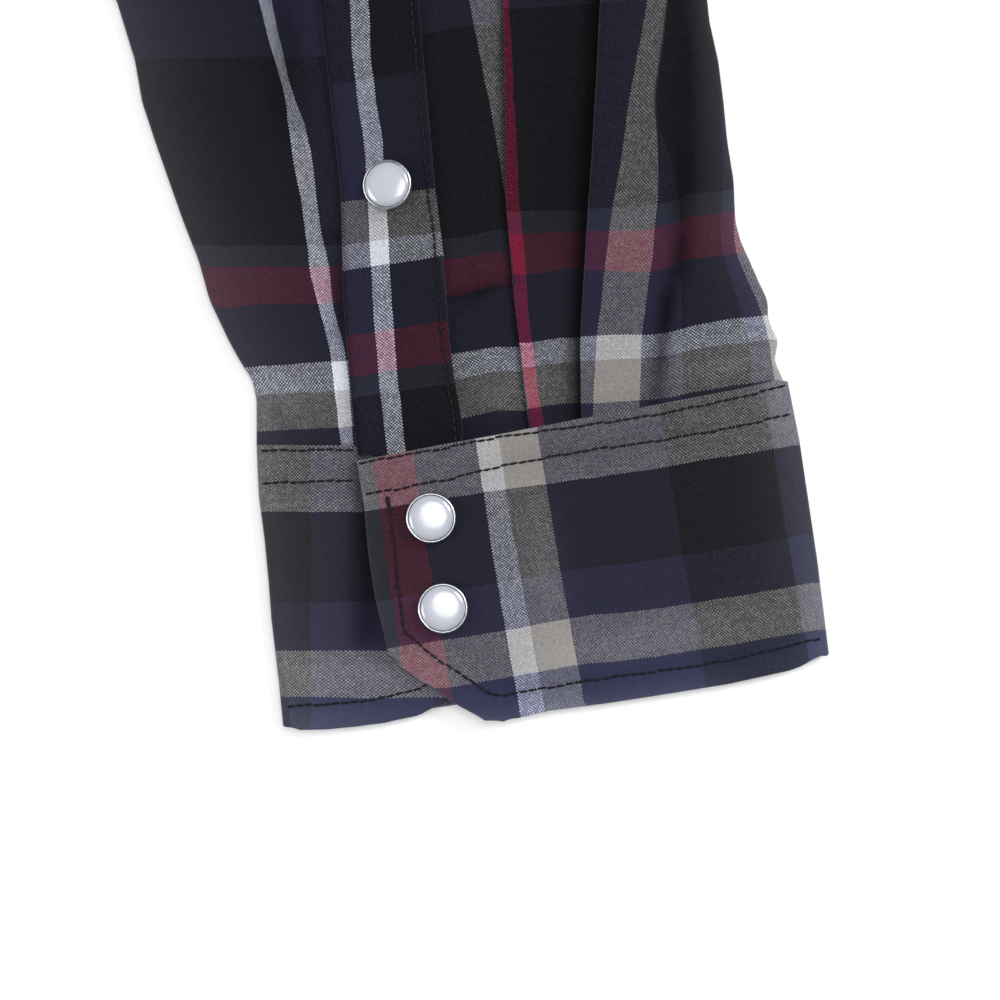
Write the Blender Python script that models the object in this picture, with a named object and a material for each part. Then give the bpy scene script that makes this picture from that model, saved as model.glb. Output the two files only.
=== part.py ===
"""Western snap shirt, laid flat on its back with its front up and its snaps closed.

Both sleeves leave the armholes at their cut angle and are folded over at the elbow, so that the
forearms run down beside the body with the placket side up. Plan sizes are in millimetres: x runs
across from the centre front towards the wearer's left, y runs up from the side of the neck, and z
runs up from the surface that the shirt lies on. The right side of the garment is at x below 0.
"""

import math

import bpy
import numpy as np

MM = 0.001

# Cloth
WALL = 1.2
CUFF_WALL = 1.8
COLLAR_WALL = 1.6
SEAM_GAP = 0.3
FRONT_Z = WALL + SEAM_GAP  # underside of the fronts, which lie on the back

# Body, right half mirrored from these
NECK_HALF_WIDTH = 80
NECK_FRONT_DROP = 85
NECK_BACK_RISE = 15
SHOULDER = (235, -45)
ARMPIT = (285, -265)
ARMHOLE = [SHOULDER, (220, -95), (213, -150), (226, -212), ARMPIT]
SIDE_SEAM = [ARMPIT, (273, -380), (269, -480), (275, -600), (280, -700)]
HEM_SIDE_Y = -700
HEM_FRONT_Y = -780
HEM_BACK_Y = -790
HEM_FLAT_HALF = 60  # half width of the straight middle of the shirt tail
YOKE_FRONT_CENTRE_Y = -135
YOKE_POINT = (118, -205)
YOKE_BOWS = ((86, -138), (152, -150))  # what pulls the seam's two arcs, either side of the point
YOKE_ARMHOLE_SHARE = 0.5  # how far down the armhole the seam meets it
YOKE_BACK_POINT_Y = -190
YOKE_BACK_BOW = (60, -118)
YOKE_BACK_ARMHOLE_SHARE = 0.35
YOKE_SEAM_GAP = 0.5  # measured along y, because the seam slants
BODY_BULGE = 2.6
# The largest soft folds of the fronts, each a low ridge from its start to its end
BODY_FOLDS = [  # start x, start y, end x, end y, height, half width
    (-268, -262, -130, -345, 1.0, 24),
    (262, -258, 150, -372, 1.0, 22),
    (-250, -455, -90, -520, 0.9, 28),
    (244, -430, 96, -468, 1.0, 26),
    (-95, -250, -72, -400, 0.8, 22),
    (120, -575, 88, -735, 1.0, 26),
    (-172, -610, -150, -740, 0.9, 26),
]
FOLD_CLEAR = (30, 80)  # the folds grow between these distances from the centre front
BULGE_HALF_WIDTH = 272
BULGE_TOP = (-150, -280)  # the swell grows between these heights
SIDE_FADE = (250, 280)  # the folds die out between these distances, before the side seam
PLACKET_HALF_WIDTH = 16
RIGHT_FRONT_LAP = 10  # how far the right front runs past the centre, under the placket

# Elbow fold: the crease runs from its outer end to its inner (underarm) end, on the right sleeve
CREASE_OUTER = np.array([-460.0, -137.0])
CREASE_INNER = np.array([-580.0, -350.0])
SLEEVE_FLAT = 2 * WALL + SEAM_GAP  # height of the flattened tube where another layer lies on it
CREASE_Z = SLEEVE_FLAT + SEAM_GAP / 2  # height of the axis that the cloth turns about
ARMHOLE_GAP = 0.7
UPPER_STATIONS = (0, 0.15, 0.3, 0.45, 0.7)
UPPER_BULGE = (0, 2.0, 2.0, 0, 0)
CREASE_TURNS = (0, 45, 90, 135)  # degrees round the crease
LANDING = 3.0  # where the forearm starts to come down, past the upper arm's edge

# Forearm of the right sleeve, in millimetres from the wrist point
WRIST = np.array([-464.7, -507.8])
WRIST_ROW_COLUMNS = ("y", "inner", "placket_in", "placket_out", "pleat_1", "pleat_2", "outer")
WRIST_ROWS = [
    (117.6, -90.4, -42.4, -19.3, 0.7, 23.5, 48.9),
    (94.1, -84.5, -39.8, -17.4, 1.2, 22.4, 52.7),
    (70.6, -76.5, -37.2, -15.5, 1.2, 20.8, 55.5),
    (47.1, -68.5, -36.9, -12.7, 3.3, 19.4, 62.8),
]
SEAM_ROW = {
    "inner": (-57.4, 13.7),
    "placket_in": (-34.8, 13.7),
    "placket_out": (-9.9, 14.0),
    "pleat_1": (6.6, 17.1),
    "pleat_2": (19.1, 19.4),
    "outer": (67.5, 28.5),
}
FOREARM_FLAT = 3.3  # height of the flattened tube where it meets the cuff
# How far the placket side stands above that, at the cuff and one hand's width above it
RISES = {  # line of the placket side: at the cuff, above
    "inner": (0, 0),
    "inner_mid": (0.4, 1.6),
    "placket_in": (0.6, 1.6),
    "placket_out": (0.6, 1.8),
    "pleat_1_low": (0.3, 1.3),
    "pleat_1_high": (0.9, 2.6),
    "pleat_2_low": (0.3, 1.6),
    "pleat_2_high": (0.9, 2.8),
    "outer_mid": (0.5, 1.6),
    "outer": (0, 0),
}
PLEAT_STEP_HALF = 1.0  # half the width of the step at a pleat's edge
FRONT_WALL_COLUMNS = 6
PLACKET_TIP_HALF = 1.0
PLACKET_SIDE = list(RISES)[::-1]  # lines of the placket side, from the outer to the inner edge

# Cuff of the right sleeve: a band from the mitred overlap, round the outer edge, back along the
# underside, round the inner edge and up to the underlap. Top and bottom points from the wrist point
CUFF_LOW_Z = CUFF_WALL / 2
CUFF_MID_Z = CUFF_LOW_Z + CUFF_WALL + SEAM_GAP
CUFF_HIGH_Z = CUFF_MID_Z + CUFF_WALL + SEAM_GAP
OVERLAP = [  # top x, top y, bottom x, bottom y, height of the middle
    (-33.9, 9.2, -26.4, -36.0, CUFF_HIGH_Z),
    (-9.6, 13.7, -3.5, -51.8, CUFF_HIGH_Z),
    (3.5, 16.2, 10.6, -49.2, CUFF_MID_Z),
    (34.0, 21.9, 43.0, -43.1, CUFF_MID_Z),
]
CUFF_OUTER_EDGE = (67.8, 28.2, 77.6, -36.5)
CUFF_INNER_EDGE = (-57.4, 13.4, -51.1, -53.6)
UNDERLAP = [
    (-40.0, 13.4, -36.0, -54.3, CUFF_MID_Z),
    (-14.1, 13.4, -12.0, -47.1, CUFF_MID_Z),
]
CUFF_TURN_STEPS = 4
CUFF_CELLS = 3

# Collar, by angle round the neck: 0 at the centre front, 90 at the wearer's right shoulder
STAND_LAP = 10  # degrees that each end runs past the centre front
STAND_TOP_HALF_WIDTH = 74
STAND_TOP_FRONT_DROP = 61
STAND_TOP_BACK_RISE = 12
STAND_TOP_Z = (17, 30)  # at the front and at the back
STAND_BACK_SINK = 1.2  # the back of the stand sits on the back yoke, one cloth lower than the fronts
STAND_SINKS = (0.7, 0.9)  # between these shares of the way from front to back
STAND_LAP_RISES = (325, 345)  # the left end climbs over the right one between these angles
LEAF_LAP_FALLS = (13, 28)  # and the right half of the leaf comes down from it between these
LEAF_START = 4
LEAF_EDGE = [  # angle, x, y, z
    (4, -50, -128, 6.5),
    (40, -86, -92, 6.5),
    (80, -114, -28, 6.0),
    (125, -88, 28, 5.0),
    (180, 0, 44, 4.0),
]
LEAF_ROWS = (0, 0.12, 0.5, 1)
LEAF_ROLL = 3.0

# Pearl snaps
SNAP_RADIUS = 6.0
SNAP_SIDES = 12
SNAP_RIM = [(0, 0), (5.5, 0), (6.0, 0.5), (5.9, 1.6), (5.6, 1.9), (5.2, 1.7), (5.2, 0.6), (0, 0.6)]
SNAP_PEARL = [(0, 0.9), (4.9, 0.9), (4.9, 1.7), (3.6, 2.4), (0, 2.8)]
FRONT_SNAP_FIRST_Y = -108
FRONT_SNAP_PITCH = 92
FRONT_SNAPS = 7
CUFF_SNAPS = [(-16.2, -4.2), (-13.4, -25.4)]
PLACKET_SNAP = (-26.4, 74.4)


# --- Curves in plan


def evenly(line, count):
    """The polyline resampled to count points at equal steps of length."""
    line = np.asarray(line, float)
    steps = np.linalg.norm(np.diff(line, axis=0), axis=1)
    length = np.concatenate([[0], np.cumsum(steps)])
    wanted = np.linspace(0, length[-1], count)
    return np.stack([np.interp(wanted, length, line[:, k]) for k in range(line.shape[1])], axis=1)


def through(points, count):
    """A smooth curve through the points (Catmull-Rom), sampled at equal steps of length."""
    points = np.asarray(points, float)
    padded = np.concatenate([[2 * points[0] - points[1]], points, [2 * points[-1] - points[-2]]])
    spans = len(points) - 1
    t = np.linspace(0, spans, 30 * spans + 1)
    i = np.minimum(t.astype(int), spans - 1)
    f = (t - i)[:, None]
    a, b, c, d = padded[i], padded[i + 1], padded[i + 2], padded[i + 3]
    dense = b + 0.5 * f * (c - a + f * (2 * a - 5 * b + 4 * c - d + f * (3 * b - a - 3 * c + d)))
    return evenly(dense, count)


def bow(start, control, end, count):
    """A quadratic arc from start to end, pulled towards control."""
    t = np.linspace(0, 1, count)[:, None]
    start, control, end = (np.asarray(p, float) for p in (start, control, end))
    return (1 - t) ** 2 * start + 2 * t * (1 - t) * control + t**2 * end


def joined(first, second):
    """Two curves end to end, their shared point kept once."""
    return np.concatenate([first, second[1:]])


def patch(bottom, top, left, right):
    """A grid of plan points inside four boundary curves (Coons): rows run from bottom to top."""
    u = np.linspace(0, 1, len(bottom))[None, :, None]
    v = np.linspace(0, 1, len(left))[:, None, None]
    ruled_up = (1 - v) * bottom[None] + v * top[None]
    ruled_across = (1 - u) * left[:, None] + u * right[:, None]
    corners = (1 - v) * ((1 - u) * bottom[0] + u * bottom[-1]) + v * ((1 - u) * top[0] + u * top[-1])
    return ruled_up + ruled_across - corners


def soft_step(t):
    """0 below 0, 1 above 1, and an even S between."""
    t = np.clip(t, 0, 1)
    return t * t * (3 - 2 * t)


def between(limits, value):
    """0 before the first limit, 1 past the second, and an even S between."""
    return soft_step((value - limits[0]) / (limits[1] - limits[0]))


# --- Solids


def add_solid(name, points, faces, material, mirrored=False):
    """One closed mesh object, its points given in millimetres of plan."""
    points = np.asarray(points, float) * MM
    if mirrored:
        points = points * (-1, 1, 1)
        faces = [tuple(reversed(face)) for face in faces]
    mesh = bpy.data.meshes.new(name)
    mesh.from_pydata([tuple(p) for p in points], [], faces)
    mesh.materials.append(material)
    mesh.validate()
    piece = bpy.data.objects.new(name, mesh)
    bpy.context.scene.collection.objects.link(piece)
    return piece


def grid_faces(rows, columns, start=0, wrap=False):
    """Quads of a grid of points stored row by row, wound rows first."""
    faces = []
    for r in range(rows - 1):
        for c in range(columns if wrap else columns - 1):
            here = start + r * columns + c
            right = start + r * columns + (c + 1) % columns
            faces.append((here, right, right + columns, here + columns))
    return faces


def sheet_solid(name, lower, upper, material, mirrored=False):
    """A cloth wall between two grids of points of the same size, closed all round.
    Seen with the upper grid towards the eye, columns run right and rows run up."""
    rows, columns = lower.shape[:2]
    count = rows * columns
    points = np.concatenate([lower.reshape(-1, 3), upper.reshape(-1, 3)])
    faces = [tuple(reversed(face)) for face in grid_faces(rows, columns)]
    faces += grid_faces(rows, columns, count)
    rim = list(range(columns - 1))
    rim += [r * columns + columns - 1 for r in range(rows - 1)]
    rim += [(rows - 1) * columns + c for c in range(columns - 1, 0, -1)]
    rim += [r * columns for r in range(rows - 1, 0, -1)]
    for here, after in zip(rim, rim[1:] + rim[:1]):
        faces.append((here, after, after + count, here + count))
    return add_solid(name, points, faces, material, mirrored)


def thick_sheet(name, middle, wall, material, mirrored=False):
    """A wall of even thickness about a grid of points of its middle surface."""
    along_columns = np.gradient(middle, axis=1)
    along_rows = np.gradient(middle, axis=0)
    normal = np.cross(along_columns, along_rows)
    normal /= np.linalg.norm(normal, axis=2, keepdims=True)
    half = normal * wall / 2
    return sheet_solid(name, middle - half, middle + half, material, mirrored)


def tube_solid(name, outer, inner, material, mirrored=False):
    """An open tube: rings of the outer and inner surface, station by station, joined at both ends."""
    stations, around = outer.shape[:2]
    count = stations * around
    points = np.concatenate([outer.reshape(-1, 3), inner.reshape(-1, 3)])
    faces = grid_faces(stations, around, wrap=True)
    faces += [tuple(reversed(face)) for face in grid_faces(stations, around, count, wrap=True)]
    last = (stations - 1) * around
    for c in range(around):
        after = (c + 1) % around
        faces.append((c, c + count, after + count, after))
        faces.append((last + c, last + after, last + after + count, last + c + count))
    return add_solid(name, points, faces, material, mirrored)


def turned_solid(name, profile, centre, up, material, mirrored=False):
    """A solid turned about a line through centre, from radius and height pairs that start and end on it."""
    up = np.asarray(up, float) / np.linalg.norm(up)
    side = np.cross(up, (0, 1, 0))
    side /= np.linalg.norm(side)
    front = np.cross(up, side)
    turns = np.arange(SNAP_SIDES) * 2 * math.pi / SNAP_SIDES
    spokes = np.cos(turns)[:, None] * side + np.sin(turns)[:, None] * front
    rings = [centre + r * spokes + h * up for r, h in profile[1:-1]]
    bottom = centre + profile[0][1] * up
    top = centre + profile[-1][1] * up
    points = np.concatenate([*rings, [bottom], [top]])
    faces = grid_faces(len(rings), SNAP_SIDES, wrap=True)
    last = (len(rings) - 1) * SNAP_SIDES
    for c in range(SNAP_SIDES):
        after = (c + 1) % SNAP_SIDES
        faces.append((after, c, len(points) - 2))
        faces.append((last + c, last + after, len(points) - 1))
    return add_solid(name, points, faces, material, mirrored)


def with_height(plan, z):
    """Plan points and their heights as points in space."""
    return np.concatenate([plan, np.broadcast_to(np.asarray(z, float), plan.shape[:-1])[..., None]], axis=-1)


# --- Body


def neck_curve(angles, front_drop, back_rise, half_width):
    """Points round the neck by angle: a deep half oval in front and a shallow one behind."""
    turns = np.radians(angles)
    depth = np.where(np.cos(turns) > 0, front_drop, back_rise)
    return np.stack([-half_width * np.sin(turns), -depth * np.cos(turns)], axis=1)


def neckline(angles):
    """Points on the neckline that the fronts, the back yoke and the collar stand share."""
    return neck_curve(angles, NECK_FRONT_DROP, NECK_BACK_RISE, NECK_HALF_WIDTH)


def hem_curve(start_x, end_x, middle_y, count):
    """The shirt tail: straight in the middle, then an S up to the side seam."""
    x = np.linspace(start_x, end_x, count)
    rise = soft_step((np.abs(x) - HEM_FLAT_HALF) / (SIDE_SEAM[-1][0] - HEM_FLAT_HALF))
    return np.stack([x, middle_y + (HEM_SIDE_Y - middle_y) * rise], axis=1)


def armhole_parts(yoke_share, above, below):
    """The armhole from the shoulder down, cut where the yoke seam meets it."""
    whole = through(ARMHOLE, 101)
    cut = round(yoke_share * 100)
    return evenly(whole[: cut + 1], above), evenly(whole[cut:], below)


def front_height(plan):
    """Underside of the fronts: a low swell that dies out at the side seams and below the yokes, and on
    it each fold as a bell-shaped ridge about its line."""
    x, y = plan[..., 0], plan[..., 1]
    across = np.clip(1 - (x / BULGE_HALF_WIDTH) ** 2, 0, 1)
    down = between(BULGE_TOP, y)
    folds = np.zeros(x.shape)
    for start_x, start_y, end_x, end_y, height, half_width in BODY_FOLDS:
        run_x, run_y = end_x - start_x, end_y - start_y
        t = ((x - start_x) * run_x + (y - start_y) * run_y) / (run_x**2 + run_y**2)
        t = np.clip(t, 0, 1)
        away = np.hypot(x - start_x - t * run_x, y - start_y - t * run_y)
        folds += height * np.exp(-((away / half_width) ** 2)) * np.sin(math.pi * (0.15 + 0.7 * t))
    clear = between(FOLD_CLEAR, np.abs(x))
    inside = 1 - between(SIDE_FADE, np.abs(x))
    return FRONT_Z + BODY_BULGE * across * down + folds * clear * inside


def neck_angle(x):
    """Angle round the front neckline at which it stands x from the centre."""
    return -math.degrees(math.asin(x / NECK_HALF_WIDTH))


def build_front(side, inner_x, mirrored, material):
    """One front: the panel and its yoke, meeting at a seam with one western point."""
    above, below = armhole_parts(YOKE_ARMHOLE_SHARE, 5, 9)
    yoke_end = above[-1]
    centre = (inner_x, YOKE_FRONT_CENTRE_Y)
    seam = joined(bow(centre, YOKE_BOWS[0], YOKE_POINT, 6), bow(YOKE_POINT, YOKE_BOWS[1], yoke_end, 6))
    drop = np.array([0, -YOKE_SEAM_GAP])
    outer_edge = joined(through(SIDE_SEAM, 10)[::-1], below[::-1])
    outer_edge[-1] = seam[-1] + drop
    inner_edge = evenly([(inner_x, HEM_FRONT_Y), seam[0] + drop], len(outer_edge))
    bottom = hem_curve(inner_x, SIDE_SEAM[-1][0], HEM_FRONT_Y, len(seam))
    plan = patch(bottom, seam + drop, inner_edge, outer_edge)
    hand = (-1, 1) if mirrored else (1, 1)
    lower = with_height(plan, front_height(plan * hand))
    sheet_solid(f"front_{side}_panel", lower, lower + (0, 0, WALL), material, mirrored)

    neck = neckline(np.linspace(neck_angle(inner_x), -90, 5))
    top = joined(neck, evenly([neck[-1], SHOULDER], len(seam) - len(neck) + 1))
    inner_edge = evenly([seam[0], neck[0]], len(above))
    plan = patch(seam, top, inner_edge, above[::-1])
    lower = with_height(plan, front_height(plan * hand))
    sheet_solid(f"front_{side}_yoke", lower, lower + (0, 0, WALL), material, mirrored)


def build_back(material):
    """The back panel and back yoke, flat on the surface, meeting at a seam with one western point."""
    above, below = armhole_parts(YOKE_BACK_ARMHOLE_SHARE, 4, 9)
    half = bow((0, YOKE_BACK_POINT_Y), YOKE_BACK_BOW, above[-1], 8)
    seam = joined(half[::-1] * (-1, 1), half)
    drop = np.array([0, -YOKE_SEAM_GAP])
    right = joined(through(SIDE_SEAM, 8)[::-1], below[::-1])
    right[-1] = seam[-1] + drop
    bottom = hem_curve(-SIDE_SEAM[-1][0], SIDE_SEAM[-1][0], HEM_BACK_Y, len(seam))
    plan = patch(bottom, seam + drop, right * (-1, 1), right)
    lower = with_height(plan, 0)
    sheet_solid("back_panel", lower, lower + (0, 0, WALL), material)

    neck = neckline(np.linspace(90, 270, 9))
    shoulder = evenly([neck[-1], SHOULDER], 4)
    top = joined(joined(shoulder[::-1] * (-1, 1), neck), shoulder)
    right = above[::-1]
    plan = patch(seam, top, right * (-1, 1), right)
    lower = with_height(plan, 0)
    sheet_solid("back_yoke", lower, lower + (0, 0, WALL), material)


def build_front_placket(material):
    """The band down the centre of the left front, over both fronts' edges."""
    below = np.linspace(HEM_FRONT_Y, BULGE_TOP[1], 12)
    above = np.linspace(BULGE_TOP[1], BULGE_TOP[0], 5)[1:]
    rows = np.concatenate([below, above, [-NECK_FRONT_DROP - SEAM_GAP]])
    x = np.array([-PLACKET_HALF_WIDTH, 0, PLACKET_HALF_WIDTH])
    plan = np.stack(np.broadcast_arrays(x[None, :], rows[:, None]), axis=-1)
    lower = with_height(plan, front_height(plan) + WALL + SEAM_GAP)
    sheet_solid("front_placket", lower, lower + (0, 0, WALL), material)


# --- Sleeve


def station(plan_placket, plan_front, z_placket, z_front, flat, turn=0.0, outwards=(0, 0)):
    """One ring of the flattened sleeve, as its outer and inner loop.

    The loop runs along the placket side from the outer to the inner edge of the sleeve, round the inner
    edge, back along the front side and round the outer edge. z_placket and z_front are heights of the two
    faces, flat is the height of the flattened tube, and turn carries the ring round the crease."""
    sign = np.sign(z_placket[0] - z_front[0])
    towards_inner = plan_placket[-1] - plan_placket[0]
    towards_inner = towards_inner / np.linalg.norm(towards_inner)
    inset = flat / 2
    side_a = plan_placket.copy()
    side_b = plan_front[::-1].copy()
    for side in (side_a, side_b):
        share = np.linspace(0, 1, len(side))[:, None]
        share = share if side is side_a else 1 - share
        side += towards_inner * inset * np.where(share == 0, 1, np.where(share == 1, -1, 0))
    edge_z = [(z_placket[-1] + z_front[-1]) / 2, (z_placket[0] + z_front[0]) / 2]
    edges = [plan_placket[-1], plan_placket[0]]

    def loop(wall):
        shift = towards_inner * wall
        plan = np.concatenate([side_a, [edges[0] - shift], side_b, [edges[1] + shift]])
        z = np.concatenate([z_placket - sign * wall, [edge_z[0]], z_front[::-1] + sign * wall, [edge_z[1]]])
        reach = CREASE_Z - z
        if turn:
            plan = plan + np.asarray(outwards) * (reach * math.sin(turn))[:, None]
            z = CREASE_Z - reach * math.cos(turn)
        return with_height(plan, z)

    return loop(0), loop(WALL)


def column_x(row, name):
    """Where a named line of the placket side runs in one row of the forearm table."""
    if name == "inner_mid":
        return (row["inner"] + row["placket_in"]) / 2
    if name == "outer_mid":
        return (row["pleat_2"] + row["outer"]) / 2
    for pleat in ("pleat_1", "pleat_2"):
        if name == pleat + "_low":
            return row[pleat] - PLEAT_STEP_HALF
        if name == pleat + "_high":
            return row[pleat] + PLEAT_STEP_HALF
    return row[name]


def forearm_rows():
    """Rows of the placket side and the front side below the elbow, in plan, with their place from 0 at
    the cuff seam to 1 one hand's width above it."""
    rows = []
    for values in WRIST_ROWS:
        row = dict(zip(WRIST_ROW_COLUMNS, values))
        placket = np.array([(column_x(row, name), row["y"]) for name in PLACKET_SIDE])
        front = evenly([placket[0], placket[-1]], FRONT_WALL_COLUMNS)
        rows.append((placket, front, row["y"]))
    x_row = {name: point[0] for name, point in SEAM_ROW.items()}
    known_x = [SEAM_ROW[name][0] for name in WRIST_ROW_COLUMNS[1:]]
    known_y = [SEAM_ROW[name][1] for name in WRIST_ROW_COLUMNS[1:]]
    seam_x = np.array([column_x(x_row, name) for name in PLACKET_SIDE])
    seam = np.stack([seam_x, np.interp(seam_x, known_x, known_y)], axis=1)
    seam_front = evenly([seam[0], seam[-1]], FRONT_WALL_COLUMNS)
    above = rows[-1]
    rows.append(((above[0] + seam) / 2, (above[1] + seam_front) / 2, None))
    rows.append((seam, seam_front, None))
    share = [1, 0.8, 0.6, 0.4, 0.2, 0]
    return [(WRIST + placket, WRIST + front, s) for (placket, front, _), s in zip(rows, share)]


def rises(share):
    """Heights of the placket side's lines above the flattened tube, share of the way from the cuff up."""
    table = np.array([RISES[name] for name in PLACKET_SIDE], float)
    return table[:, 0] + (table[:, 1] - table[:, 0]) * share


def landing_line(forearm_top):
    """Ends, on the outer and inner edge, of the line where the forearm leaves the upper arm's edge."""
    armpit = np.array([-ARMPIT[0], ARMPIT[1]], float)
    along = CREASE_INNER - armpit
    down = np.array([-along[1], along[0]]) / np.linalg.norm(along)
    start = armpit + down * LANDING
    edge = forearm_top[0] - CREASE_OUTER
    t = np.dot(start - CREASE_OUTER, down) / np.dot(edge, down)
    return CREASE_OUTER + t * edge, CREASE_INNER + down * LANDING


def sleeve_stations():
    """Every ring of the right sleeve from the armhole to the cuff, and the rows that carry the placket."""
    forearm = forearm_rows()
    top_row = forearm[0][0]
    width = np.linalg.norm(top_row[-1] - top_row[0])
    shares = np.linalg.norm(top_row - top_row[0], axis=1) / width
    even = np.linspace(0, 1, FRONT_WALL_COLUMNS)
    zeros_p, zeros_f = np.zeros(len(shares)), np.zeros(len(even))

    def line(ends, at):
        return ends[0] + (ends[1] - ends[0]) * at[:, None]

    crease = (CREASE_OUTER, CREASE_INNER)
    along = CREASE_INNER - CREASE_OUTER
    outwards = np.array([along[1], -along[0]]) / np.linalg.norm(along)
    whole = through(ARMHOLE, 101) * (-1, 1)
    armpit_to_crease = CREASE_INNER - whole[-1]
    whole = whole + armpit_to_crease / np.linalg.norm(armpit_to_crease) * ARMHOLE_GAP
    rings = []
    for share, bulge in zip(UPPER_STATIONS, UPPER_BULGE):
        at_armhole = [np.stack([np.interp(a, np.linspace(0, 1, 101), whole[:, k]) for k in (0, 1)], axis=1)
                      for a in (shares, even)]
        plan = [(1 - share) * w + share * line(crease, a) for w, a in zip(at_armhole, (shares, even))]
        swell = SLEEVE_FLAT + bulge * np.sin(math.pi * even)
        rings.append(station(plan[0], plan[1], zeros_p, swell, SLEEVE_FLAT))
    for degrees in CREASE_TURNS:
        rings.append(station(line(crease, shares), line(crease, even), zeros_p, zeros_f + SLEEVE_FLAT,
                             SLEEVE_FLAT, math.radians(degrees), outwards))
    lifted = SLEEVE_FLAT + SEAM_GAP
    landing = landing_line(top_row)
    carried = []
    for share in (0, 1 / 3, 2 / 3, 1):
        ends = [crease[k] + (landing[k] - crease[k]) * share for k in (0, 1)]
        rings.append(station(line(ends, shares), line(ends, even), zeros_p + lifted + SLEEVE_FLAT,
                             zeros_f + lifted, SLEEVE_FLAT))
    for share in (1 / 3, 2 / 3):
        placket = line(landing, shares) * (1 - share) + top_row * share
        front = line(landing, even) * (1 - share) + forearm[0][1] * share
        lift = lifted * (1 - soft_step(share))
        flat = SLEEVE_FLAT + (FOREARM_FLAT - SLEEVE_FLAT) * share
        z = lift + flat + rises(1) * share
        rings.append(station(placket, front, z, zeros_f + lift, flat))
        carried.append((placket, z))
    for placket, front, share in forearm:
        z = FOREARM_FLAT + rises(share)
        rings.append(station(placket, front, z, zeros_f, FOREARM_FLAT))
        carried.append((placket, z))
    return rings, carried


def placket_surface(carried):
    """The sleeve placket's underside as rows of three points, moved out from the sleeve's own lines."""
    first, last = PLACKET_SIDE.index("placket_in"), PLACKET_SIDE.index("placket_out")
    rows = []
    for number, (plan, z) in enumerate(carried):
        ends = with_height(plan[[first, last]], z[[first, last]] + SEAM_GAP)
        if number == 0:
            middle = ends.mean(axis=0)
            narrow = (ends[1] - ends[0]) * PLACKET_TIP_HALF / np.linalg.norm(ends[1] - ends[0])
            ends = np.stack([middle - narrow, middle + narrow])
        rows.append([ends[0], ends.mean(axis=0), ends[1]])
    slope = (OVERLAP[1][1] - OVERLAP[0][1]) / (OVERLAP[1][0] - OVERLAP[0][0])
    for point in rows[-1]:
        cuff_top = WRIST[1] + OVERLAP[0][1] + slope * (point[0] - WRIST[0] - OVERLAP[0][0])
        point[1] = cuff_top + SEAM_GAP
    return np.array(rows)[::-1]


def build_sleeve(side, mirrored, material):
    """One sleeve tube and the placket strip that lies on it."""
    rings, carried = sleeve_stations()
    outer = np.array([ring[0] for ring in rings])
    inner = np.array([ring[1] for ring in rings])
    tube_solid(f"sleeve_{side}", outer, inner, material, mirrored)
    lower = placket_surface(carried)
    sheet_solid(f"sleeve_placket_{side}", lower, lower + (0, 0, WALL), material, mirrored)
    return lower


# --- Cuff


def cuff_band():
    """The band's middle surface, station by station from the overlap's free end to the underlap's."""

    def turn(edge, outwards, low_first):
        top, bottom = np.array(edge[:2]), np.array(edge[2:])
        along = (bottom - top) / np.linalg.norm(bottom - top)
        normal = np.array([-along[1], along[0]]) * outwards
        radius = (CUFF_MID_Z - CUFF_LOW_Z) / 2
        made = []
        for step in range(CUFF_TURN_STEPS + 1):
            angle = math.pi * step / CUFF_TURN_STEPS
            reach = radius * math.sin(angle) - radius - CUFF_WALL / 2
            height = CUFF_LOW_Z + radius * (1 - math.cos(angle) if low_first else 1 + math.cos(angle))
            made.append((*(top + normal * reach), *(bottom + normal * reach), height))
        return made

    rows = list(OVERLAP)
    rows += turn(CUFF_OUTER_EDGE, 1, low_first=False)
    rows += turn(CUFF_INNER_EDGE, -1, low_first=True)
    rows += list(UNDERLAP)
    rows = np.array(rows)
    top = np.concatenate([rows[:, 0:2], rows[:, 4:5]], axis=1)
    bottom = np.concatenate([rows[:, 2:4], rows[:, 4:5]], axis=1)
    down = np.linspace(0, 1, CUFF_CELLS + 1)[:, None, None]
    return (1 - down[::-1]) * top[None] + down[::-1] * bottom[None]


def build_cuff(side, mirrored, material):
    """One cuff, as a wall about the wrapped band."""
    middle = cuff_band() + (*WRIST, 0)
    thick_sheet(f"cuff_{side}", middle, CUFF_WALL, material, mirrored)


# --- Collar


def stand_rows(angles):
    """Base and top line of the collar stand's middle surface, and its outward direction."""
    base = neckline(angles)
    top = neck_curve(angles, STAND_TOP_FRONT_DROP, STAND_TOP_BACK_RISE, STAND_TOP_HALF_WIDTH)
    behind = (1 - np.cos(np.radians(angles))) / 2
    base_z = FRONT_Z + WALL + SEAM_GAP + COLLAR_WALL / 2 - STAND_BACK_SINK * between(STAND_SINKS, behind)
    top_z = STAND_TOP_Z[0] + (STAND_TOP_Z[1] - STAND_TOP_Z[0]) * behind
    base, top = with_height(base, base_z), with_height(top, top_z)
    outwards = np.cross(top - base, with_height(neckline(angles + 1) - neckline(angles - 1), 0))
    outwards /= np.linalg.norm(outwards, axis=1, keepdims=True)
    over = between(STAND_LAP_RISES, angles)[:, None] * (COLLAR_WALL + SEAM_GAP)
    return base + outwards * over, top + outwards * over, outwards


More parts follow.
